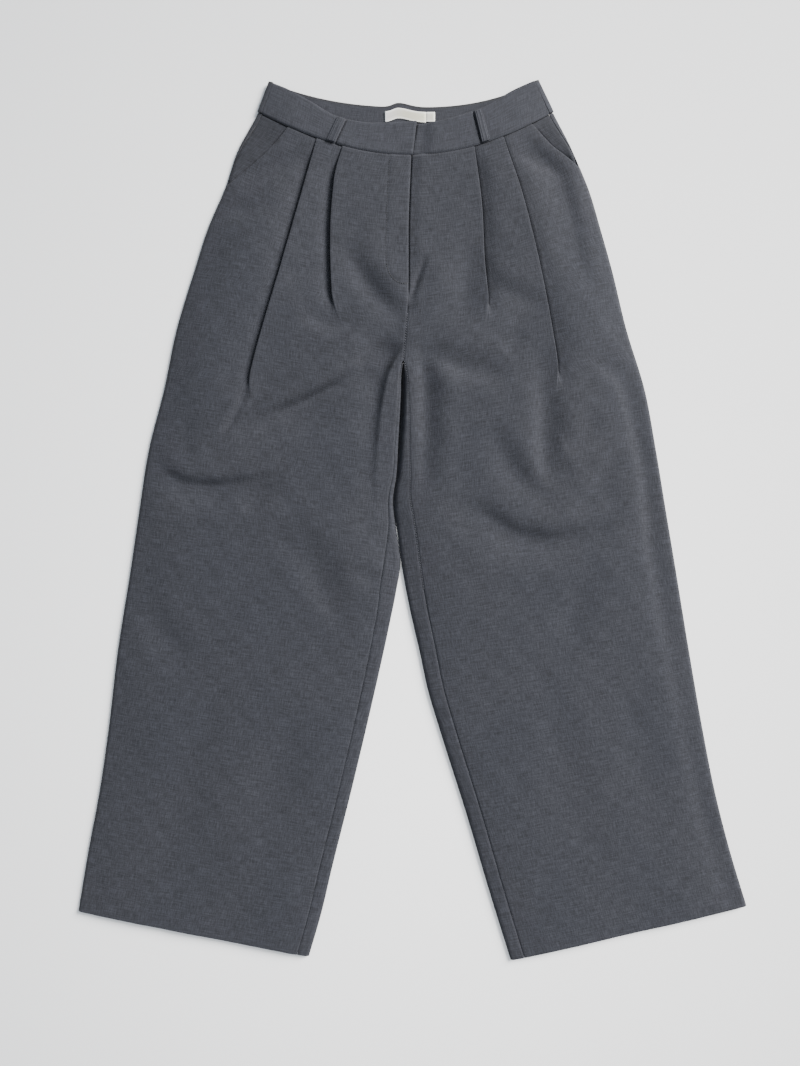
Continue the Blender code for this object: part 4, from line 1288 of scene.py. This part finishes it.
def suiting(name, shade, contrast=1.0):
    """Melange suiting: light and dark slubs along warp and weft, a fine weave and a soft nap."""
    made = Shading(name, SUITING_FINISH)
    warp = made.threads(0.0011, 0.012)
    weft = made.threads(0.0011, 0.020, turned=True)
    fine = made.threads(0.0008, 0.003, detail=0.5)
    mixed = made.math("ADD", made.math("MULTIPLY", warp, 0.42), made.math("MULTIPLY", weft, 0.38))
    mixed = made.math("ADD", mixed, made.math("MULTIPLY", fine, 0.2))
    colour = made.ramp(mixed, (0.34, scaled_suiting(shade, 1 - 0.4 * contrast)), (0.5, scaled_suiting(shade)),
                       (0.66, scaled_suiting(shade, 1 + 0.5 * contrast)))
    cloudy = made.threads(0.11, 0.16, detail=2)
    cloud = made.ramp(cloudy, (0.32, (0.97, 0.975, 0.985)), (0.68, (1.035, 1.025, 1.015)))
    colour = made.blend(1.0, colour, cloud, mode="MULTIPLY")
    # darker and browner within a couple of millimetres of the marked folded edges
    colour = made.tone_edges(colour, scaled_suiting(shade, EDGE_TONE))
    made.link(colour, made.shader.inputs["Base Color"])
    slubs = made.bump(mixed, 0.0005, 0.35)
    made.bump(weave_height(made, THREAD_PITCH), 0.00012, 0.3, normal=slubs)
    return made.material


def label_ribbon(name):
    """Ivory satin ribbon with a fine rib, cooler at its left end."""
    made = Shading(name, SATIN_FINISH)
    rib = made.threads(0.0006, 0.02, turned=True, detail=1)
    along = made.node("ShaderNodeSeparateXYZ")
    made.link(made.grain, along.inputs["Vector"])
    place = made.math("ADD", made.math("MULTIPLY", along.outputs["X"], 20.0), 0.35)
    colour = made.ramp(place, (0.0, (0.44, 0.43, 0.44)), (0.5, (0.42, 0.41, 0.33)),
                       (1.0, (0.50, 0.485, 0.38)))
    shade = made.ramp(rib, (0.3, (0.9, 0.9, 0.9)), (0.7, (1.0, 1.0, 1.0)))
    colour = made.blend(1.0, colour, shade, mode="MULTIPLY")
    made.link(made.tone_edges(colour, SATIN_EDGE_TONE), made.shader.inputs["Base Color"])
    made.bump(rib, 0.0002, 0.4)
    return made.material


def thread(name, shade):
    """Sewing thread in the suiting's colour, made lighter or darker by shade. The fly's dark thread is
    partly painted shade.
    """
    made = Shading(name, THREAD_FINISH)
    twist = made.node("ShaderNodeTexNoise")
    twist.inputs["Scale"].default_value = 900.0
    colour = made.ramp(twist.outputs["Fac"], (0.3, scaled_suiting(shade, 0.8)), (0.7, scaled_suiting(shade, 1.2)))
    made.link(colour, made.shader.inputs["Base Color"])
    return made.material


def floor_board(name):
    """A pale surface with a painted pool of light: its colour is brighter under the middle of the
    trousers.
    """
    made = Shading(name, FLOOR_FINISH)
    place = made.node("ShaderNodeTexCoord").outputs["Object"]
    spread = made.node("ShaderNodeMapping")
    spread.inputs["Location"].default_value = (0, 0.2, 0)
    spread.inputs["Scale"].default_value = (1.0, 0.85, 0)
    made.link(place, spread.inputs["Vector"])
    light_pool = made.node("ShaderNodeTexGradient", gradient_type="SPHERICAL")
    made.link(spread.outputs["Vector"], light_pool.inputs["Vector"])
    # painted light: the colour rises from the outer floor towards the middle
    colour = made.ramp(light_pool.outputs["Fac"], (0.1, (0.60, 0.605, 0.61)), (0.9, (0.88, 0.88, 0.88)))
    made.link(colour, made.shader.inputs["Base Color"])
    return made.material


# --- Building ----------------------------------------------------------------------------------

# Each kind of cut piece: the width and length of its flat cut in metres, its area in square metres,
# its wall, its finish and how often its mesh is softened.
CUTS = {
    "front": ((0.37, 1.10), 0.308, SHELL, "suiting", 0),
    "back": ((0.39, 1.11), 0.310, SHELL, "suiting", 0),
    "pocket_facing": ((0.080, 0.088), 0.0034, SHELL, "suiting", 0),
    "waistband_front": ((0.215, 0.060), 0.0082, BAND_WALL, "waistband", 0),
    "waistband_back": ((0.43, 0.076), 0.0157, BAND_WALL, "waistband", 0),
    "belt_loop_front": ((0.010, 0.038), None, LOOP_WALL, "waistband", 1),
    "belt_loop_back": ((0.010, 0.038), None, SHELL, "waistband", 1),
    "belt_loop_centre_back": ((0.010, 0.038), None, SHELL, "waistband", 1),
}


def place_piece(piece, node):
    """Attaches a sheet to the root body and hides the CAD solid of the node it stands for."""
    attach(piece, "root")
    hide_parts(node)


def add_cloth(kind, side, grid, material, toned_edges=()):
    """Makes one cut piece of cloth. side is empty for a piece that there is one of."""
    cut, area, wall, slot, soften = CUTS[kind]
    node = f"{kind}_{side}" if side else kind
    piece = make_sheet(f"cloth_{node}", grid, wall, material, toned_edges, soften)
    place_piece(piece, node)


def add_stitches(name, line, material, half_width=THREAD):
    piece = stitches(name, line, material, half_width)
    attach(piece, "root")
    return piece


def fly_stitch_line(grid, path):
    """A stitch line of the fly, laid on the front panel."""
    line = sample_path(path, 100)
    z = height_over(grid, line[:, 0], line[:, 1]) + SHELL / 2 + SEWN_LIFT
    return np.column_stack([line, z])


def inseam_stitch_line(grid, half):
    """The seam's stitches show from the fly's end down to the middle of the thigh."""
    column = grid[:, 1]
    below_fly = column[:, 1] < FLY_END_Y - INSEAM_STITCH_START
    line = column[below_fly & (column[:, 1] > INSEAM_STITCH_END_Y)]
    line = line + [0, 0, SHELL / 2 + INSEAM_STITCH_LIFT]
    line[:, 0] -= half.sign * INSEAM_STITCH_SHIFT
    return line


def build_garment():
    right, left = Half("right"), Half("left")
    cloth = suiting("suiting", 1.0)
    # The pocket facing is the same suiting painted 14% darker: painted shade for the recess under the
    # pocket mouth
    inside = suiting("suiting_facing_painted_shade", 0.86)
    band_cloth = suiting("waistband_suiting", 1.07, contrast=0.8)
    satin = label_ribbon("label_ribbon")
    # The fly's thread is far darker than the suiting: partly the real topstitching, partly painted
    # shade of the groove its stitches pull into the cloth
    thread_and_groove_shade = thread("thread", 0.3)
    seam_thread = thread("seam_thread", 1.9)
    for half in (right, left):
        side = half.name
        grid = front_panel(half)
        if side == "right":
            curve, upright = (fly_stitch_line(grid, path) for path in (FLY_CURVE, FLY_UPRIGHT))
            sewn = [add_stitches("stitches_fly_curve", curve, thread_and_groove_shade, STRONG_THREAD),
                    add_stitches("stitches_fly_upright", upright, thread_and_groove_shade)]
        else:
            seam = inseam_stitch_line(grid, half)
            sewn = [add_stitches("stitches_inseam", seam, seam_thread, SEAM_THREAD)]
        add_cloth("front", side, grid, cloth)
        add_cloth("back", side, back_panel(half), cloth)
        add_cloth("pocket_facing", side, pocket_facing(half), inside)
        add_cloth("waistband_front", side, front_band(half), band_cloth)
        add_cloth("belt_loop_front", side, front_loop(half), band_cloth)
        add_cloth("belt_loop_back", side, back_loop(half, BACK_LOOP_SHARE), band_cloth)
    add_cloth("waistband_back", "", back_band(right, left), band_cloth,
              toned_edges=("last_row",))
    add_cloth("belt_loop_centre_back", "", back_loop(right, CENTRE_LOOP_SHARE), band_cloth)
    for node, height, end in (("label", LABEL_HEIGHT, "first_column"),
                              ("size_tab", TAB_HEIGHT, "last_column")):
        piece = make_sheet(f"ribbon_{node}", ribbon(node, right, left), RIBBON_WALL, satin,
                           toned_edges=("first_row", "last_row", end))
        place_piece(piece, node)


# --- Studio ------------------------------------------------------------------------------------

# Places and sizes are in metres here.
CAMERA_HEIGHT = 1.01
CAMERA_OFFSET = (-0.016, -0.014)       # from the middle of the trousers
SENSOR = 36.0                          # in millimetres, as is the lens
LENS = 27.05
FLOOR_HALF = 8.0
ROOM_COLOUR = (0.74, 0.86, 1.0)
ROOM_STRENGTH = 0.62

# Round lights: name, place, what they face, width, power in watts and colour
LIGHTS = (
    ("window", (5.6, 3.9, 3.9), (0, 0, 0), 4.4, 2950, (1.0, 0.975, 0.945)),
    ("fill", (0.2, -1.2, 2.3), (0.0, -0.6, 0), 1.8, 30, (1.0, 0.97, 0.93)),
)


def build_floor():
    corners = np.array([(x, y, 0) for x, y in ((-1, -1), (1, -1), (1, 1), (-1, 1))], float)
    mesh = make_mesh("floor", corners * FLOOR_HALF, [[0, 1, 2, 3]], floor_board("floor"))
    add_object("floor", mesh)


def add_area_light(name, place, aim, size, power, colour):
    light = bpy.data.lights.new(name, "AREA")
    light.shape = "DISK"
    light.size = size
    light.energy = power
    light.color = colour
    lamp = add_object(name, light)
    lamp.location = place
    lamp.rotation_euler = (Vector(aim) - Vector(place)).to_track_quat("-Z", "Y").to_euler()


def build_lights():
    world = bpy.data.worlds.new("room")
    world.use_nodes = True
    background = world.node_tree.nodes["Background"]
    background.inputs["Color"].default_value = (*ROOM_COLOUR, 1)
    background.inputs["Strength"].default_value = ROOM_STRENGTH
    bpy.context.scene.world = world
    for light in LIGHTS:
        add_area_light(*light)


def build_camera():
    low, high = cad_box
    camera = add_object("camera", bpy.data.cameras.new("camera"))
    camera.data.sensor_width = SENSOR
    camera.data.lens = LENS
    camera.location = ((low[0] + high[0]) / 2 + CAMERA_OFFSET[0],
                       (low[1] + high[1]) / 2 + CAMERA_OFFSET[1], CAMERA_HEIGHT)
    bpy.context.scene.camera = camera


build_floor()
build_garment()
build_lights()
build_camera()
